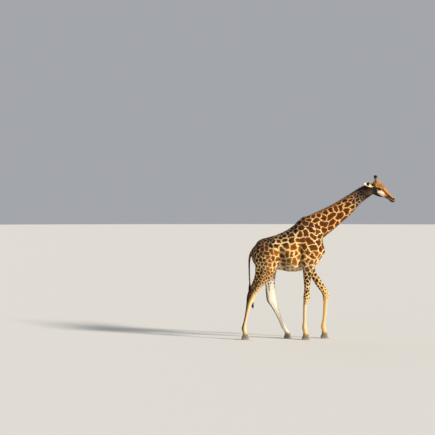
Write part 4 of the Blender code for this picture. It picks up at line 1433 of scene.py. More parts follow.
def coat_material(name, on_skin):
    """Patches on a paler ground, with ragged borders, flecks of tone and, on the skin, relief."""
    material, tree, shader = new_material(
        name, Roughness=0.72, Specular_IOR_Level=0.08,
        Sheen_Weight=0.02, Sheen_Roughness=0.45, Sheen_Tint=SHEEN_TINT,
    )
    root = attribute(tree, "root_place")
    ragged, fine = noise(tree, root, 34.0, 3.0), noise(tree, root, 150.0)
    edge = swung(tree, attribute(tree, "patch_edge", "Fac"), (ragged, 0.011), (fine, 0.005))
    inside = value_ramp(tree, edge, -0.0015, 0.0025)
    heart = sums(tree, "MULTIPLY", value_ramp(tree, edge, 0.008, 0.050), 0.55)
    tone = noise(tree, root, 9.0, 4.0)
    patch = colour_mix(tree, heart, attribute(tree, "patch_colour"), PATCH_HEART)
    patch = colour_mix(tree, value_ramp(tree, tone, 0.45, 0.75, 0, 0.30), patch, PATCH_WARM)
    warmth = value_ramp(tree, tone, 0.45, 0.75, 0, 0.16)
    ground = colour_mix(tree, warmth, attribute(tree, "ground_colour"), GROUND_WARM)
    both = colour_mix(tree, inside, ground, patch)
    fleck = value_ramp(tree, noise(tree, root, 420.0), 0.30, 0.75, 0.0, 0.28)
    both = colour_mix(tree, fleck, both, colour_mix(tree, 1.0, both, FLECK_SHADE, "MULTIPLY"))
    tree.links.new(both, shader.inputs["Base Color"])
    if on_skin:
        strands = sums(tree, "MULTIPLY", noise(tree, attribute(tree, "strand_place"), 1.0, 3.0), 0.6)
        clumps = sums(tree, "MULTIPLY", noise(tree, root, 70.0, 3.0), 0.4)
        roughened(tree, shader, sums(tree, "ADD", strands, clumps), 0.55, 0.004)
    return material


def hair_material(name, root_colour, tip_colour, roughness=0.55):
    """Hair whose locks differ in tone and run from one colour at the root to another at the tip."""
    material, tree, shader = new_material(
        name, Roughness=roughness, Specular_IOR_Level=0.35, Anisotropic=0.4
    )
    base = colour_mix(tree, attribute(tree, "along", "Fac"), (*root_colour, 1), (*tip_colour, 1))
    base = colour_mix(tree, attribute(tree, "shade", "Fac"), base, HAIR_DARK)
    dark = colour_mix(tree, 1.0, base, HAIR_SHADE, "MULTIPLY")
    base = colour_mix(tree, attribute(tree, "tone", "Fac"), base, dark)
    flecks = value_ramp(tree, noise(tree, object_place(tree), 260.0), 0.35, 0.70, 0, 0.35)
    base = colour_mix(tree, flecks, base, dark)
    tree.links.new(base, shader.inputs["Base Color"])
    return material


# ------ the skin's piece
FLESH = ["trunk", "neck", "head", "tail"]
FLESH += [f"foreleg_{part}_{hand}" for hand in SIDES for part in ("forearm", "cannon", "pastern")]
FLESH += [f"hindleg_{part}_{hand}" for hand in SIDES for part in ("thigh", "shank", "cannon", "pastern")]
DOWN = np.array([0.0, 0.0, -1.0])
# The way that the hair lies on each form; on the legs it lies downwards.
LIE = {
    "trunk": (-1.0, 0.0, -0.38),
    "neck": -NECK_FRAME[1] + 0.45 * DOWN,
    "head": -HEAD_FRAME[1],
}


def lie_of(weights, normals):
    """The way the hair points at each place: the regions' ways, laid on the skin."""
    way = sum(share[:, None] * np.array(LIE.get(form, DOWN)) for form, share in weights.items())
    way = way - normals * np.sum(way * normals, axis=1, keepdims=True)
    return unit(way)


def unwrapped(points, region):
    """Place on the unwrap of one form: the turn round its axis, and the share of its length."""
    form = FORMS[region]
    t, rise, side = form.shares(*points.T)
    around = np.arctan2(side, rise) / (2 * math.pi) + 0.5
    first, last = form.table[0, 0], form.table[-1, 0]
    return np.stack([around, (t - first) / (last - first)], axis=1)


EAR_ROWS, EAR_COLUMNS = 32, 15
EAR_SPAN = (-0.17, 0.995)  # of the shell, as shares of the ear's length


def ear_shell(ear):
    """A closed leaf with its outer and its inner side, and the shares that place its points."""
    a = np.linspace(*EAR_SPAN, EAR_ROWS)[:, None] + np.zeros(EAR_COLUMNS)
    turn = np.linspace(-1, 1, EAR_COLUMNS) + np.zeros((EAR_ROWS, 1))
    sheet = ear.surface(a, turn)
    away = unit(np.cross(np.gradient(sheet, axis=1), np.gradient(sheet, axis=0)))
    from_axis = sheet - ear.foot - (a * ear.length)[..., None] * ear.along
    away = away * np.sign(np.sum(away * from_axis, axis=2))[..., None]
    rim = np.sqrt(np.maximum(1 - (turn * 0.97) ** 6, 0.05))
    wall = EAR_THICKNESS * (0.50 - 0.14 * np.clip(a, 0, 1)) * rim * (1 - 0.5 * beyond(a, 0.93, 0.07))
    outer, inner = sheet + away * wall[..., None], sheet - away * wall[..., None]
    points = np.concatenate([outer, inner[:, ::-1]], axis=1).reshape(-1, 3)
    shares = [np.stack([a, turn, face + 0 * a], axis=-1) for face in (1, -1)]
    shares = np.concatenate([shares[0], shares[1][:, ::-1]], axis=1).reshape(-1, 3)
    columns = 2 * EAR_COLUMNS
    step = np.arange(EAR_COLUMNS - 1)
    cap = np.stack([step, step + 1, columns - 2 - step, columns - 1 - step], axis=1)
    walls = grid_faces(EAR_ROWS, columns)
    faces = np.vstack([walls, cap[:, ::-1], cap + (EAR_ROWS - 1) * columns])
    from_middle = points[faces].mean(axis=1) - points.mean(axis=0)
    outwards = np.sum(quad_normals(points, faces) * from_middle) > 0
    return points, faces if outwards else faces[:, ::-1], shares


def ear_colours(shares):
    """White hair inside, with a dark stripe and painted shade in the hollow at its root, and tan behind
    with a pale edge.
    """
    a, turn, side = shares.T
    edge = beyond(np.abs(turn), 0.55, 0.4)
    stripe = before(np.abs(turn), 0.80, 0.15) * window(a - 0.10 * turn**2, 0.46, 0.73, 0.05)
    # The black at the root, inside, is painted shade in the ear's hollow; the stripe is a marking.
    dark = np.maximum(stripe, before(a, 0.16, 0.10))
    inside = painted(WHITE * 1.1, (before(a, 0.36, 0.08) * 0.7, TAN), (dark, BLACK))
    behind = painted(TAN, (edge * 0.6, WHITE), (beyond(a, 0.80, 0.18) * 0.35, BROWN))
    return np.where((side < 0)[:, None], inside, behind)


# Strands of the relief: to the metre round a form and along it, on an ear's
# three shares, and the step that keeps one form's strands from the next's.
STRANDS_ROUND, STRANDS_ALONG = 500, 55
STRANDS_ON_EAR = [8, 30, 3]
STRANDS_STEP = 3.0
NO_PATCH = -0.1  # edge value of a place that lies far outside every patch


class Skin:
    """The skin's points, quads and everything that is worked out at its points."""

    def __init__(self):
        self.points, self.quads = skin_surface()
        self.normals = point_normals(self.points, self.quads)
        self.weights, self.ground, self.patch, self.edge = marked(self.points, self.normals)
        self.lie = lie_of(self.weights, self.normals)
        self.names = [*FORMS, *EARS]
        self.region = np.argmax(np.stack([self.weights[name] for name in FORMS]), axis=0)
        self.ear_shares = np.zeros((len(self.points), 3))
        for hand, ear in EARS.items():
            self.add_ear(ear, self.names.index(hand))

    def add_ear(self, ear, number):
        """Joins one ear's shell to the skin's mesh."""
        points, quads, shares = ear_shell(ear)
        normals = point_normals(points, quads)
        ground = ear_colours(shares)
        lie = unit(ear.along - normals * (normals @ ear.along)[:, None])
        more = dict(points=points, normals=normals, ground=ground, patch=ground, lie=lie)
        more.update(ear_shares=shares, region=np.full(len(points), number))
        more.update(edge=np.full(len(points), NO_PATCH))
        self.quads = np.vstack([self.quads, quads + len(self.points)])
        for key, values in more.items():
            setattr(self, key, np.concatenate([getattr(self, key), values]))

    def values(self):
        """What the skin's material reads at its points."""
        around = np.zeros((len(self.points), 3))
        for number, name in enumerate(self.names):
            here = self.region == number
            if name in EARS:
                around[here] = self.ear_shares[here] * STRANDS_ON_EAR
                continue
            form, points = FORMS[name], self.points[here]
            place = unwrapped(points, name)
            girth = 4 * column(form.table, form.place(*points.T)[0], 4)
            length = form.table[-1, 0] - form.table[0, 0]
            around[here, 0] = np.abs(place[:, 0] - 0.5) * 2 * girth * STRANDS_ROUND
            around[here, 1] = place[:, 1] * length * STRANDS_ALONG
            around[here, 2] = number * STRANDS_STEP
        return {**self.marks(lambda values: values), "strand_place": around}

    def marks(self, at):
        """What both coats' materials read, taken at places by a function."""
        return {
            "root_place": at(self.points),
            "patch_edge": at(self.edge),
            "patch_colour": at(self.patch),
            "ground_colour": at(self.ground),
        }

    def scattered(self, count, chance, density):
        """Random places on the skin: the first corner of each one's quad, and a way to mix values.

        Quads are picked by area times density. A point's values are mixed by
        its shares of the quad's two directions.
        """
        area = np.linalg.norm(quad_normals(self.points, self.quads), axis=1)
        share = area * density[self.quads[:, 0]]
        face = chance.choice(len(self.quads), count, p=share / share.sum())
        u, v = chance.random((2, count, 1))
        weights = np.stack([(1 - u) * (1 - v), u * (1 - v), u * v, (1 - u) * v], axis=1)
        corner = self.quads[face]

        def mixed(values):
            """The skin's values at the random places."""
            values = values[corner] if values.ndim > 1 else values[corner][..., None]
            return np.sum(values * weights, axis=1)

        return corner[:, 0], mixed


def make_skin(skin, material):
    """The one closed skin, in place of all the flesh and both ears."""
    piece = add_mesh("skin", skin.points, skin.quads, material, skin.values())
    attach(piece, "root")
    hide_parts(*FLESH, "ear_left", "ear_right")


# A lock of the coat: its stations as shares of its length, how far it stands
# off the skin there, its half widths and its thickness as shares of the whole.
COAT_STATIONS = np.array([-0.12, 0.55, 1.0])
COAT_BOW = np.array([-0.10, 0.9, 1.0])
COAT_TAPER = np.array([1.0, 0.72])
COAT_THICKNESS = 0.30


def strip_place(name, roots, shares):
    """Where locks of one form or ear lie on that one's part of the bake map."""
    if name not in EARS:
        return unwrapped(roots, name)
    a, turn, face = shares.T
    return np.stack([0.5 + (turn * 0.23 + 0.25) * np.sign(face), a], axis=1)


def told(value, points):
    """A value that may be a function of points."""
    return value(points) if callable(value) else value


def make_coat(skin, name, regions, count, length, width, lift, density, seed, material):
    """Short overlapping locks that lie along the skin, in its own markings."""
    chance = np.random.default_rng(seed)
    numbers = [skin.names.index(region) for region in regions]
    here = np.isin(skin.region, numbers) * told(density, skin.points)
    corner, mixed = skin.scattered(count, chance, here)
    roots, normals, lie = mixed(skin.points), unit(mixed(skin.normals)), unit(mixed(skin.lie))
    side = np.cross(normals, lie)
    lie = unit(lie + side * chance.normal(0, 0.16, (count, 1)))
    size = told(length, roots) * chance.uniform(0.75, 1.20, count)
    rise = lift * chance.uniform(0.5, 1.4, count)
    along = COAT_STATIONS[:, None] * size[:, None, None]
    bow = COAT_BOW[:, None] * (rise * size)[:, None, None]
    paths = roots[:, None] + lie[:, None] * along + normals[:, None] * bow
    widths = (width * chance.uniform(0.8, 1.2, count))[:, None] * COAT_TAPER
    points, faces, per_lock = locks(paths, widths, COAT_THICKNESS, side)
    places = np.zeros((count, 2))
    shares = mixed(skin.ear_shares)
    for strip, number in enumerate(numbers):
        inside = skin.region[corner] == number
        place = strip_place(skin.names[number], roots[inside], shares[inside])
        place[:, 0] = (strip + STRIP_MARGIN + (1 - 2 * STRIP_MARGIN) * place[:, 0]) / len(numbers)
        places[inside] = place
    values = skin.marks(mixed)
    tone = chance.uniform(0.84, 1.16, (count, 1))
    values["patch_colour"] *= tone
    values["ground_colour"] *= tone
    values = {key: np.repeat(value, per_lock, axis=0) for key, value in values.items()}
    piece = add_mesh(name, points, faces, material, values, bake_places(places, per_lock), flat=True)
    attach(piece, "root")


# How close the locks of a piece stand, as a weight at each of the skin's points.
def left_half(points):
    """Only on the left half."""
    return points[:, 1] > 0


def right_half(points):
    """Only on the right half."""
    return points[:, 1] <= 0


def coronet_density(points):
    """Only at the edge of the hair over the hooves."""
    return before(points[:, 2], 0.128, 0.015)


def face_density(points):
    """Half as close on the lips as on the rest of the head."""
    return 1 - 0.5 * beyond(FORMS["head"].place(*points.T)[0], 0.42, 0.1)


def face_length(roots):
    """Short on the nose, longer behind the poll."""
    t = FORMS["head"].place(*roots.T)[0]
    return 0.0075 - 0.0035 * beyond(t, 0.25, 0.25) + 0.004 * before(t, -0.02, 0.05)


def limb_length(roots):
    """Shorter below the knee and the hock than above them."""
    return 0.010 + 0.006 * beyond(roots[:, 2], 1.1, 0.5)


# Each piece of the coat: its regions, how many locks, their length, half width
# and lift off the skin, how close they stand, and the start of its chance.
COATS = {
    "coat_trunk_left": (("trunk",), 19000, 0.024, 0.0026, 0.06, left_half, 101),
    "coat_trunk_right": (("trunk",), 19000, 0.024, 0.0026, 0.06, right_half, 103),
    "coat_neck": (("neck",), 19500, 0.021, 0.0022, 0.06, 1, 107),
    "coat_head": (("head",), 19500, face_length, 0.0010, 0.07, face_density, 109),
    "coat_ears": (tuple(SIDES), 7000, 0.011, 0.0009, 0.10, 1, 113),
    "coat_forelegs": (LEGS[:2], 19500, limb_length, 0.0019, 0.055, 1, 127),
    "coat_hindlegs": ((*LEGS[2:], "tail"), 19500, limb_length, 0.0020, 0.055, 1, 131),
    "coat_coronets": (LEGS, 7000, 0.034, 0.0012, 0.11, coronet_density, 137),
}


# ------ horn, hooves, eyes and hair
def loft_surface(rows, frame, widest, powers, columns, relief=None):
    """A closed surface over a section table, in the same half superellipses as the forms.

    The angle runs round each section, and the powers square it up. Both ends
    close on their middles.
    """
    origin, along, up, side = frame
    t, low, high, shift, half = np.asarray(rows, float).T
    turn = np.arange(columns) * 2 * math.pi / columns
    rise, out = np.sin(turn), np.cos(turn)
    power = np.where(rise > 0, powers[1], powers[0])
    length = (np.abs(rise) ** power + np.abs(out) ** power) ** (-1 / power)
    rise, out = rise * length, out * length
    middle = low + widest * (high - low)
    tall = np.where(rise > 0, (high - middle)[:, None], (middle - low)[:, None])
    points = (
        origin
        + t[:, None, None] * along
        + (middle[:, None] + rise * tall)[..., None] * up
        + (shift[:, None] + out * half[:, None])[..., None] * side
    )
    if relief is not None:
        away = unit(points - points.mean(axis=1, keepdims=True))
        points = points + away * relief(t[:, None], rise, out)[..., None]
    return closed_rings(points, points[0].mean(axis=0), points[-1].mean(axis=0))


def closed_rings(rings, first, last):
    """Rings between two poles, as a grid whose first and last rows are the poles over and over."""
    ends = [np.repeat(pole[None, None], rings.shape[1], axis=1) for pole in (first, last)]
    return np.concatenate([ends[0], rings, ends[1]])


def loft_piece(name, points, material, node_name, values=None, inwards=False):
    """A piece from a grid of closed rings, with its ends' doubled points merged.

    Where rings run so that their faces would look inwards, the faces are turned.
    """
    rows, columns = points.shape[:2]
    number = np.arange(rows * columns).reshape(rows, columns)
    number[0], number[-1] = number[0, 0], number[-1, 0]
    faces = grid_faces(rows, columns)
    faces = faces[:, ::-1] if inwards else faces
    used, flat = np.unique(number.ravel()[faces], return_inverse=True)
    faces = [list(dict.fromkeys(row)) for row in flat.reshape(faces.shape).tolist()]
    mesh = bpy.data.meshes.new(name)
    mesh.from_pydata(points.reshape(-1, 3)[used].tolist(), [], faces)
    set_values(mesh, {k: np.reshape(v, (rows * columns, -1))[used] for k, v in (values or {}).items()})
    mesh.shade_smooth()
    mesh.materials.append(material)
    piece = placed(name, mesh)
    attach(piece, "root")
    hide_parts(node_name)


HORN_DARK = (0.060, 0.045, 0.034, 1)
HORN_PALE = (0.20, 0.155, 0.115, 1)
DUST = (0.42, 0.34, 0.24, 1)
STREAK_SCALE = (90, 90, 9)  # streaks to the metre along X, Y and Z


def horn_material():
    """Grey-brown hoof horn with upright streaks and dust towards the ground."""
    material, tree, shader = new_material("hoof_horn", Roughness=0.55)
    place = object_place(tree)
    height = node(tree, "ShaderNodeSeparateXYZ", Vector=place).outputs[2]
    streak = node(tree, "ShaderNodeMapping", Vector=place, Scale=STREAK_SCALE).outputs[0]
    streaks = noise(tree, streak, 1.0, 3.0)
    base = colour_mix(tree, streaks, HORN_DARK, HORN_PALE)
    base = colour_mix(tree, value_ramp(tree, height, 0.002, 0.06, 0.55, 0.08), base, DUST)
    tree.links.new(base, shader.inputs["Base Color"])
    rough = value_ramp(tree, streaks, 0.3, 0.7, 0.45, 0.72)
    tree.links.new(rough, shader.inputs["Roughness"])
    roughened(tree, shader, streaks, 0.4, 0.0015)
    return material


HOOF_STEPS, HOOF_COLUMNS = 10, 44
RING_DEPTH, RING_STEP = 0.0004, 0.011  # of the rings of growth
RING_INSET = 0.0007  # keeps the rings inside the solid
SOLE_BEVEL = [[0, 0.003, -0.003, 0, -0.003]]
TOP_BEVEL = [[-0.002, 0.010, -0.010, 0, -0.008]]


def make_hooves(material):
    """Two toes to a foot, ringed by growth, worn flat below and tucked in under the hair."""
    table = faired(HOOF, HOOF_STEPS)
    for foot, (heel, y) in HEELS.items():
        for toe, out in (("outer", 1), ("inner", -1)):
            shift = y + out * math.copysign(TOE_SPREAD, y)
            z, back, front, _, share = table.T
            rings = RING_DEPTH * np.cos(2 * math.pi * z / RING_STEP) * smooth(z / 0.02) - RING_INSET
            tuck = beyond(z, 0.045, 0.06)
            back, front = heel + back + 0.014 * tuck - rings, heel + front - 0.004 * tuck + rings
            half = TOE_HALF_WIDTH * share * (1 - 0.10 * tuck) + rings
            rows = np.stack([z, back, front, shift + 0 * z, half], axis=1)
            sole, top = rows[:1] + SOLE_BEVEL, rows[-1:] + TOP_BEVEL
            rows[0, 0] = 0.003
            points = loft_surface(
                np.vstack([sole, rows, top]), UPRIGHT_FRAME, 0.42, (3.2, 2.1), HOOF_COLUMNS
            )
            name = f"hoof_{foot}_{toe}"
            loft_piece(f"{name}_horn", points, material, name)


SHAFT_DARK = (0.30, 0.15, 0.055, 1)
SHAFT_PALE = (0.52, 0.30, 0.13, 1)
# Black of the tip, also used as painted shade on the back.
TIP_BLACK_AND_BACK_SHADE = (0.020, 0.014, 0.010, 1)


def bone_material():
    """Ossicones: skin with thin tan hair on the shaft, nearly black on the tip, and painted shade on the
    back.
    """
    material, tree, shader = new_material("ossicone", Roughness=0.7)
    place = object_place(tree)
    ragged = noise(tree, place, 120.0, 3.0)
    share = swung(tree, attribute(tree, "dark", "Fac"), (ragged, 0.5))
    base = colour_mix(tree, ragged, SHAFT_DARK, SHAFT_PALE)
    base = colour_mix(tree, value_ramp(tree, share, 0.35, 0.65), base, TIP_BLACK_AND_BACK_SHADE)
    tree.links.new(base, shader.inputs["Base Color"])
    roughened(tree, shader, noise(tree, place, 420.0, 3.0), 0.6, 0.002)
    return material


def ossicone_frame(out):
    """Foot, axis, and the two ways across one horn: its back and its side."""
    foot, tip = on_side(OSSICONE_FOOT, out), on_side(OSSICONE_TIP, out)
    axis = unit(tip - foot)
    across = unit(np.cross(axis, HEAD_FRAME[1]))
    return foot, axis, np.cross(across, axis), across, np.linalg.norm(tip - foot)


def stoutness(share):
    """How many times as thick as its table a horn is, share of the way up it."""
    return 0.96 + 0.24 * beyond(share, 0.15, 0.4)


OSSICONE_STEPS, OSSICONE_COLUMNS = 12, 36
OSSICONE_TABLE = faired(OSSICONE, OSSICONE_STEPS)
OSSICONE_SINK = -0.012  # where the horn starts, inside the skull
KNOB_DEPTH = 0.0011
CAP = [0, 0.5, 0.5, 0.5, 0.5]  # the last ring, as shares of the one before it


def make_ossicones(material, hair):
    """Both horns with their knobbly shafts, dark tips, painted shade on their backs, and their hair."""
    for hand, out in SIDES.items():
        foot, axis, back, across, length = ossicone_frame(out)
        stout = stoutness(OSSICONE_TABLE[:, 0])
        rows = OSSICONE_TABLE * [length, 1, 1, 1, 1]
        rows[:, 1:3] *= stout[:, None]
        rows[:, 4] *= stout
        rows[0, 0], rows[-1, 0] = OSSICONE_SINK, length * 0.985
        rows = np.vstack([rows, rows[-1:] * CAP + [[length * 1.008, 0, 0, 0, 0]]])

        def knobs(t, rise, side):
            """Small lumps all over the shaft."""
            lump = np.sin(t * 210 + rise * 5) * np.sin(side * 6 + t * 95)
            return KNOB_DEPTH * lump * window(t / length, 0.1, 0.85, 0.1)

        points = loft_surface(rows, (foot, axis, back, across), 0.5, (2, 2), OSSICONE_COLUMNS, knobs)
        t = (points - foot) @ axis / length
        rear = (points - foot) @ HEAD_FRAME[1]
        rear = -(rear - rear.mean(axis=1, keepdims=True)) / 0.03
        # The dark tip is the horn's own; the dark back is painted shade.
        dark = beyond(t, 0.55, 0.25) + 0.75 * smooth(rear + 0.2) * beyond(t, 0.1, 0.2)
        values = {"dark": np.clip(dark, 0, 1)}
        name = f"ossicone_{hand}"
        loft_piece(f"{name}_horn", points, material, name, values)
        ossicone_hair(f"{name}_hair", out, hair)


HAIR_ENDS = (0, 0.8)  # share of the tip's colour at the root and before the tip
TONE_POWER = 1.5  # keeps most locks near their own colour


def hair_piece(name, paths, half, thick, sides, material, node_name, seed, shade=None):
    """Locks along paths, with a tone to each lock and a value that runs from root to tip."""
    chance = np.random.default_rng(seed)
    count, stations = paths.shape[:2]
    points, faces, per_lock = locks(paths, half, thick, sides)
    along = np.append(np.repeat(np.linspace(*HAIR_ENDS, stations - 1), LOCK_SIDES), 1.0)
    values = {
        "along": np.tile(along, count),
        "tone": np.repeat(chance.random(count) ** TONE_POWER, per_lock),
    }
    if shade is not None:
        values["shade"] = np.repeat(shade, per_lock)
    places = bake_places(chance.random((count, 2)), per_lock)
    piece = add_mesh(name, points, faces, material, values, places)
    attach(piece, "root")
    if node_name:
        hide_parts(node_name)


OSSICONE_LOCKS = 3200
# Their stations, and how far they stand off the horn there.
OSSICONE_STATIONS = np.array([0.0, 0.5, 1.0])
OSSICONE_RISE = np.array([-0.0005, 0.0022, 0.0042])


def ossicone_hair(name, hand, material):
    """Short tan hair on a horn, a dark brush round its knob, and painted shade that darkens the hair down
    its back.
    """
    foot, axis, back, across, length = ossicone_frame(hand)
    count, seed = OSSICONE_LOCKS, OSSICONE_SEED + hand
    chance = np.random.default_rng(seed)
    t = 0.03 + 0.95 * chance.random(count) ** 0.85
    turn = chance.uniform(-math.pi, math.pi, count)
    # rear: painted shade that darkens the hair down the horn's back.
    rear = beyond(np.cos(turn), 0.1, 0.5) * beyond(t, 0.10, 0.2)
    dark = beyond(t + chance.normal(0, 0.03, count), 0.52, 0.12)
    dark = np.maximum(dark, rear * chance.uniform(0.5, 1.0, count))
    ahead = unit(HEAD_FRAME[1] - axis * HEAD_FRAME[1].dot(axis))
    beside = np.cross(axis, ahead)
    out = -np.cos(turn)[:, None] * ahead + np.sin(turn)[:, None] * beside
    high, half = (column(OSSICONE_TABLE, t, which) * (stoutness(t) - 0.02) for which in (2, 4))
    reach = 1 / np.hypot(out @ back / high, out @ across / half)
    reach = reach * np.where(t > 0.94, np.sqrt(chance.random(count)), 1.0)
    roots = foot + (t * length)[:, None] * axis + out * reach[:, None]
    size = chance.uniform(0.008, 0.015, count) * (1 - 0.55 * beyond(t, 0.86, 0.12))
    rise = OSSICONE_RISE * (0.35 + 0.65 * dark)[:, None]
    lie = unit(axis * np.where(t > 0.9, 0.15, 1.0)[:, None] + chance.normal(0, 0.14, (count, 3)))
    lie = unit(lie - out * np.sum(lie * out, axis=1, keepdims=True) * 0.9)
    paths = roots[:, None] + lie[:, None] * (size[:, None] * OSSICONE_STATIONS)[..., None]
    paths = paths + out[:, None] * rise[..., None]
    widths = np.outer(chance.uniform(0.0007, 0.0011, count), [1.0, 0.7])
    hair_piece(name, paths, widths, 0.4, np.cross(out, lie), material, None, seed, dark)


MANE_LOCKS = 6800
MANE_STATIONS = np.array([0.0, 0.35, 0.72, 1.0])
MANE_TAPER = [1.0, 0.9, 0.6]


def make_mane(material):
    """Upright locks that stand as a stiff brush along the crest, leaning a little back."""
    chance = np.random.default_rng(MANE_SEED)
    count = MANE_LOCKS
    table = np.array(MANE)
    origin, along, up, side = NECK_FRAME
    t = chance.uniform(table[0, 0] + 0.01, table[-1, 0] - 0.005, count)
    low, high, half = (column(table, t, which) for which in (1, 2, 4))
    out = chance.uniform(-0.72, 0.72, count)
    full = chance.uniform(0.72, 0.985, count) * (1 - 0.10 * np.abs(out))
    full *= 1 - 0.10 * smooth(np.sin(t * 83.0) * 0.5 + 0.5 * np.sin(t * 211.0))
    height = high - low
    foot = low + 0.10 * height
    lean = chance.normal(-0.006, 0.005, count)
    rise = foot[:, None] + (low + height * full - foot)[:, None] * MANE_STATIONS
    sway = lean[:, None] * MANE_STATIONS**1.6 + t[:, None]
    stray = chance.normal(0, 0.0012, (count, 1)) * MANE_STATIONS
    spread = (out * half)[:, None] * (1 - 0.25 * MANE_STATIONS) + stray
    paths = origin + sway[..., None] * along + rise[..., None] * up + spread[..., None] * side
    widths = np.outer(chance.uniform(0.0016, 0.0028, count), MANE_TAPER)
    sides = np.tile(along, (count, 1)) + chance.normal(0, 0.35, (count, 3))
    shade = 0.92 * beyond(t, 0.80, 0.55) * chance.uniform(0.8, 1.0, count)
    tones = MANE_TONES_SEED
    hair_piece("mane_locks", paths, widths, 0.45, sides, material, "mane", tones, shade)


TUFT_LOCKS = 1300
TUFT_STATIONS = 9
TUFT_CLUMPS = 26
CLUMP_TURN = 2.399  # the golden angle, which spreads the clumps round the tail
TUFT_TAPER = [0.6, 1, 1, 1, 0.9, 0.8, 0.65, 0.45]


def make_tail_tuft(material):
    """Long locks that hang side by side and keep their share of the tuft's outline."""
    chance = np.random.default_rng(TUFT_SEED)
    count = TUFT_LOCKS
    table = faired(TAIL_TUFT, FAIR_STEPS)
    start = chance.uniform(-0.06, 0.45, count)
    end = start + (0.985 - start) * chance.uniform(0.55, 1.0, count)
    share = start[:, None] + (end - start)[:, None] * np.linspace(0, 1, TUFT_STATIONS)
    top, foot = table[-1, 0], table[0, 0]
    level = top + (foot - top) * share
    low, high, half = (column(table, level, which) for which in (1, 2, 4))
    clump = chance.integers(0, TUFT_CLUMPS, count)
    turn = (clump * CLUMP_TURN + chance.normal(0, 0.42, count))[:, None]
    wave = 0.30 * np.sin(share * 9 + clump[:, None]) * share
    depth = (chance.random(count) ** 0.4)[:, None]
    depth = depth * (0.90 - 0.09 * np.sin(share * 11 + clump[:, None] * 1.7) ** 2)
    x = (low + high) / 2 + (high - low) / 2 * depth * np.cos(turn + wave)
    y = half * depth * np.sin(turn + wave)
    paths = np.stack([x, y, level], axis=-1)
    widths = np.outer(chance.uniform(0.0011, 0.0024, count), TUFT_TAPER)
    sides = chance.normal(0, 1, (count, 3)) * [1, 1, 0.1]
    tones = TUFT_TONES_SEED
    hair_piece("tail_tuft_locks", paths, widths, 0.6, sides, material, "tail_tuft", tones)


PUPIL_SHAPE = (1.0, 1.75, 1.0)  # its place is stretched by this, so it is wide and low
IRIS_DARK = (0.010, 0.005, 0.003, 1)
IRIS_PALE = (0.050, 0.021, 0.008, 1)
PUPIL = (0.0025, 0.002, 0.0025, 1)
IRIS_RIM = (0.008, 0.005, 0.004, 1)
EYE_WHITE = (0.030, 0.018, 0.012, 1)  # brown, as the whole eye looks dark


def eye_material():
    """A dark wet eye: brown iris, wide level pupil, black rim."""
    material, tree, shader = new_material(
        "eye", Roughness=0.06, Specular_IOR_Level=0.05, Coat_Weight=0.15, Coat_Roughness=0.02
    )
    place = attribute(tree, "gaze_place")
    wide = node(tree, "ShaderNodeMapping", Vector=place, Scale=PUPIL_SHAPE).outputs[0]
    ring, pupil = (
        node(tree, "ShaderNodeVectorMath", {"operation": "LENGTH"}, i0=at).outputs["Value"]
        for at in (place, wide)
    )
    parts = node(tree, "ShaderNodeSeparateXYZ", Vector=place).outputs
    rays = sums(tree, "MULTIPLY", sums(tree, "ARCTAN2", parts[1], parts[0]), 9.0)
    spokes = node(tree, "ShaderNodeCombineXYZ", X=rays, Y=sums(tree, "MULTIPLY", ring, 2.0))
    base = colour_mix(tree, noise(tree, spokes.outputs[0], 1.6, 3.0), IRIS_DARK, IRIS_PALE)
    base = colour_mix(tree, value_ramp(tree, pupil, 0.50, 0.56), PUPIL, base)
    base = colour_mix(tree, value_ramp(tree, ring, 0.66, 0.76), base, IRIS_RIM)
    base = colour_mix(tree, value_ramp(tree, ring, 0.90, 1.00), base, EYE_WHITE)
    tree.links.new(base, shader.inputs["Base Color"])
    return material


EYE_ROWS, EYE_COLUMNS = 41, 48
CORNEA_RISE = 0.0010
CORNEA_EDGE = math.radians(42)
IRIS_EDGE = math.radians(46)  # from the gaze, where the eye's own place is 1


def make_eyes(material):
    """Each eyeball, with the cornea's bulge over the iris."""
    for hand, out in SIDES.items():
        middle = on_side(EYE_PLACE, out)
        gaze, fore, upper = eye_axes(out)
        away = np.linspace(0, math.pi, EYE_ROWS)
        turn = np.arange(EYE_COLUMNS) * 2 * math.pi / EYE_COLUMNS
        radius = EYE_RADIUS - 0.0012 + CORNEA_RISE * smooth(1.25 - away[1:-1] / CORNEA_EDGE)
        ring = np.cos(turn)[:, None] * fore + np.sin(turn)[:, None] * upper
        way = np.sin(away)[:, None, None] * ring + np.cos(away)[:, None, None] * gaze
        points = middle + radius[:, None, None] * way[1:-1]
        points = closed_rings(points, middle + gaze * radius[0], middle - gaze * radius[-1])
        share = away[:, None, None] / IRIS_EDGE
        place = share * np.stack([np.cos(turn), np.sin(turn), 0 * turn], axis=1)
        values = {"gaze_place": place}
        loft_piece(f"eye_{hand}_ball", points, material, f"eye_{hand}", values, inwards=True)


LASHES, UPPER_LASHES = 74, 50
LASH_STATIONS = np.array([0.0, 0.4, 0.75, 1.0])[:, None]
LASH_HALF_WIDTH = 0.00042


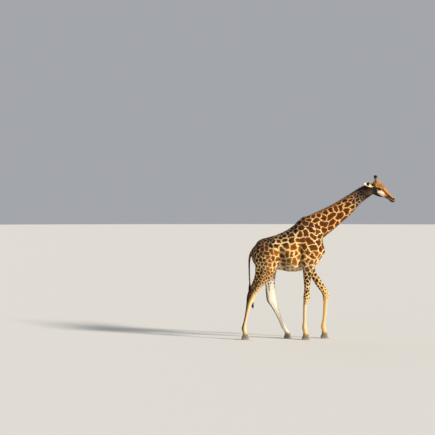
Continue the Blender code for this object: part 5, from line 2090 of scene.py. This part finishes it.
def make_lashes(hand, out, material):
    """Lashes: a row of long curved hairs on the upper lid and a short row on the lower."""
    seed, count = LASH_SEEDS[hand], LASHES
    chance = np.random.default_rng(seed)
    gaze, fore, upper = eye_axes(out)
    above = np.arange(count) < UPPER_LASHES
    turn = chance.uniform(-0.92, 0.92, count)
    almond = np.sqrt(1 - turn**2)
    rise = np.where(above, LID_UPPER, -LID_LOWER) * almond
    yaw = turn * LID_CORNER
    way = (
        (np.cos(rise) * np.cos(yaw))[:, None] * gaze
        + (np.cos(rise) * np.sin(yaw))[:, None] * fore
        + np.sin(rise)[:, None] * upper
    )
    roots = on_side(EYE_PLACE, out) + way * (EYE_RADIUS + 0.0035)
    size = np.where(above, 0.017, 0.008) * chance.uniform(0.75, 1.15, count) * (0.55 + 0.45 * almond)
    lift = np.where(above, 1.0, -0.8)[:, None] * upper
    lean = fore * (turn * 0.35 + chance.normal(0, 0.10, count))[:, None]
    start = unit(way * 0.9 - lift * 0.25 + lean)
    end = unit(way * 0.45 + lift * 0.55 + lean)
    bend = 0.5 * LASH_STATIONS**2
    bow = start[:, None] * (LASH_STATIONS - bend) + end[:, None] * bend
    paths = roots[:, None] + size[:, None, None] * bow
    widths = np.outer(np.full(count, LASH_HALF_WIDTH), [1.0, 0.85, 0.6])
    sides = np.cross(way, upper)
    hair_piece(f"lashes_{hand}", paths, widths, 0.8, sides, material, None, seed)


# ------ camera, light, floor
CAMERA_PLACE = (-2.289, -28.0, 3.1)
CAMERA_TILT = 89.31  # degrees from straight down
CAMERA_REACH = 400.0
LENS = 102.0
SENSOR = 36.0
FLOOR_RADIUS = 150.0
FLOOR_SIDES = 64
FLOOR_COLOUR = (0.62, 0.60, 0.56, 1.0)
SKY_COLOUR = (0.90, 0.93, 1.0, 1.0)
SKY_STRENGTH = 0.41
# Each lamp: the way to it, its strength, its width in degrees and its colour.
SUNS = {
    "key": ((0.88, -0.46, 0.42), 5.9, 8.0, (1.0, 0.95, 0.86)),
    "fill": ((-0.60, 0.70, 0.45), 0.65, 60.0, (0.93, 0.96, 1.0)),
}


def make_camera():
    """A long lens from the animal's right side, a little lower than its head."""
    lens = bpy.data.cameras.new("camera")
    lens.lens = LENS
    lens.sensor_width = SENSOR
    lens.clip_end = CAMERA_REACH
    camera = placed("camera", lens)
    camera.location = CAMERA_PLACE
    camera.rotation_euler = (math.radians(CAMERA_TILT), 0.0, 0.0)
    bpy.context.scene.camera = camera


def add_sun(name, way, strength, width, tint):
    """A light from one direction, wide enough that its shadows are soft."""
    lamp = bpy.data.lights.new(name, "SUN")
    lamp.energy = strength
    lamp.angle = math.radians(width)
    lamp.color = tint
    right = unit(np.cross((0, 0, 1), way))
    upper = np.cross(unit(way), right)
    turn = Matrix(np.stack([right, upper, unit(way)], axis=1).tolist())
    placed(name, lamp).rotation_euler = turn.to_euler()


def make_lights():
    """A warm key light, a weak fill from behind and a pale sky."""
    for name, settings in SUNS.items():
        add_sun(name, *settings)
    world = bpy.data.worlds.new("studio")
    world.use_nodes = True
    back = world.node_tree.nodes["Background"]
    back.inputs["Color"].default_value = SKY_COLOUR
    back.inputs["Strength"].default_value = SKY_STRENGTH
    bpy.context.scene.world = world
    bpy.context.scene.view_settings.view_transform = "Standard"


def make_floor():
    """A flat pale disc."""
    material = new_material("floor", Roughness=0.9, Base_Color=FLOOR_COLOUR)[0]
    turn = np.arange(FLOOR_SIDES) * 2 * math.pi / FLOOR_SIDES
    rim = np.stack([np.cos(turn), np.sin(turn), 0 * turn], axis=1) * FLOOR_RADIUS
    mesh = bpy.data.meshes.new("floor")
    mesh.from_pydata(rim.tolist(), [], [list(range(FLOOR_SIDES))])
    mesh.materials.append(material)
    floor = placed("floor", mesh)


# ------ the model
make_camera()
make_lights()
make_floor()

skin = Skin()
make_skin(skin, coat_material("coat_skin", True))
coat = coat_material("coat_locks", False)
for name, settings in COATS.items():
    make_coat(skin, name, *settings, coat)

# Hair: its colour at the root and at the tip, and its roughness.
make_mane(hair_material("mane_hair", (0.13, 0.055, 0.018), (0.46, 0.23, 0.080)))
make_tail_tuft(hair_material("tuft_hair", (0.020, 0.014, 0.011), (0.034, 0.024, 0.018), 0.45))
make_ossicones(bone_material(), hair_material("ossicone_hair", (0.36, 0.19, 0.070), (0.68, 0.42, 0.20)))
make_hooves(horn_material())
make_eyes(eye_material())
lash = hair_material("lash_hair", (0.012, 0.009, 0.008), (0.018, 0.013, 0.011), 0.4)
for hand, out in SIDES.items():
    make_lashes(hand, out, lash)
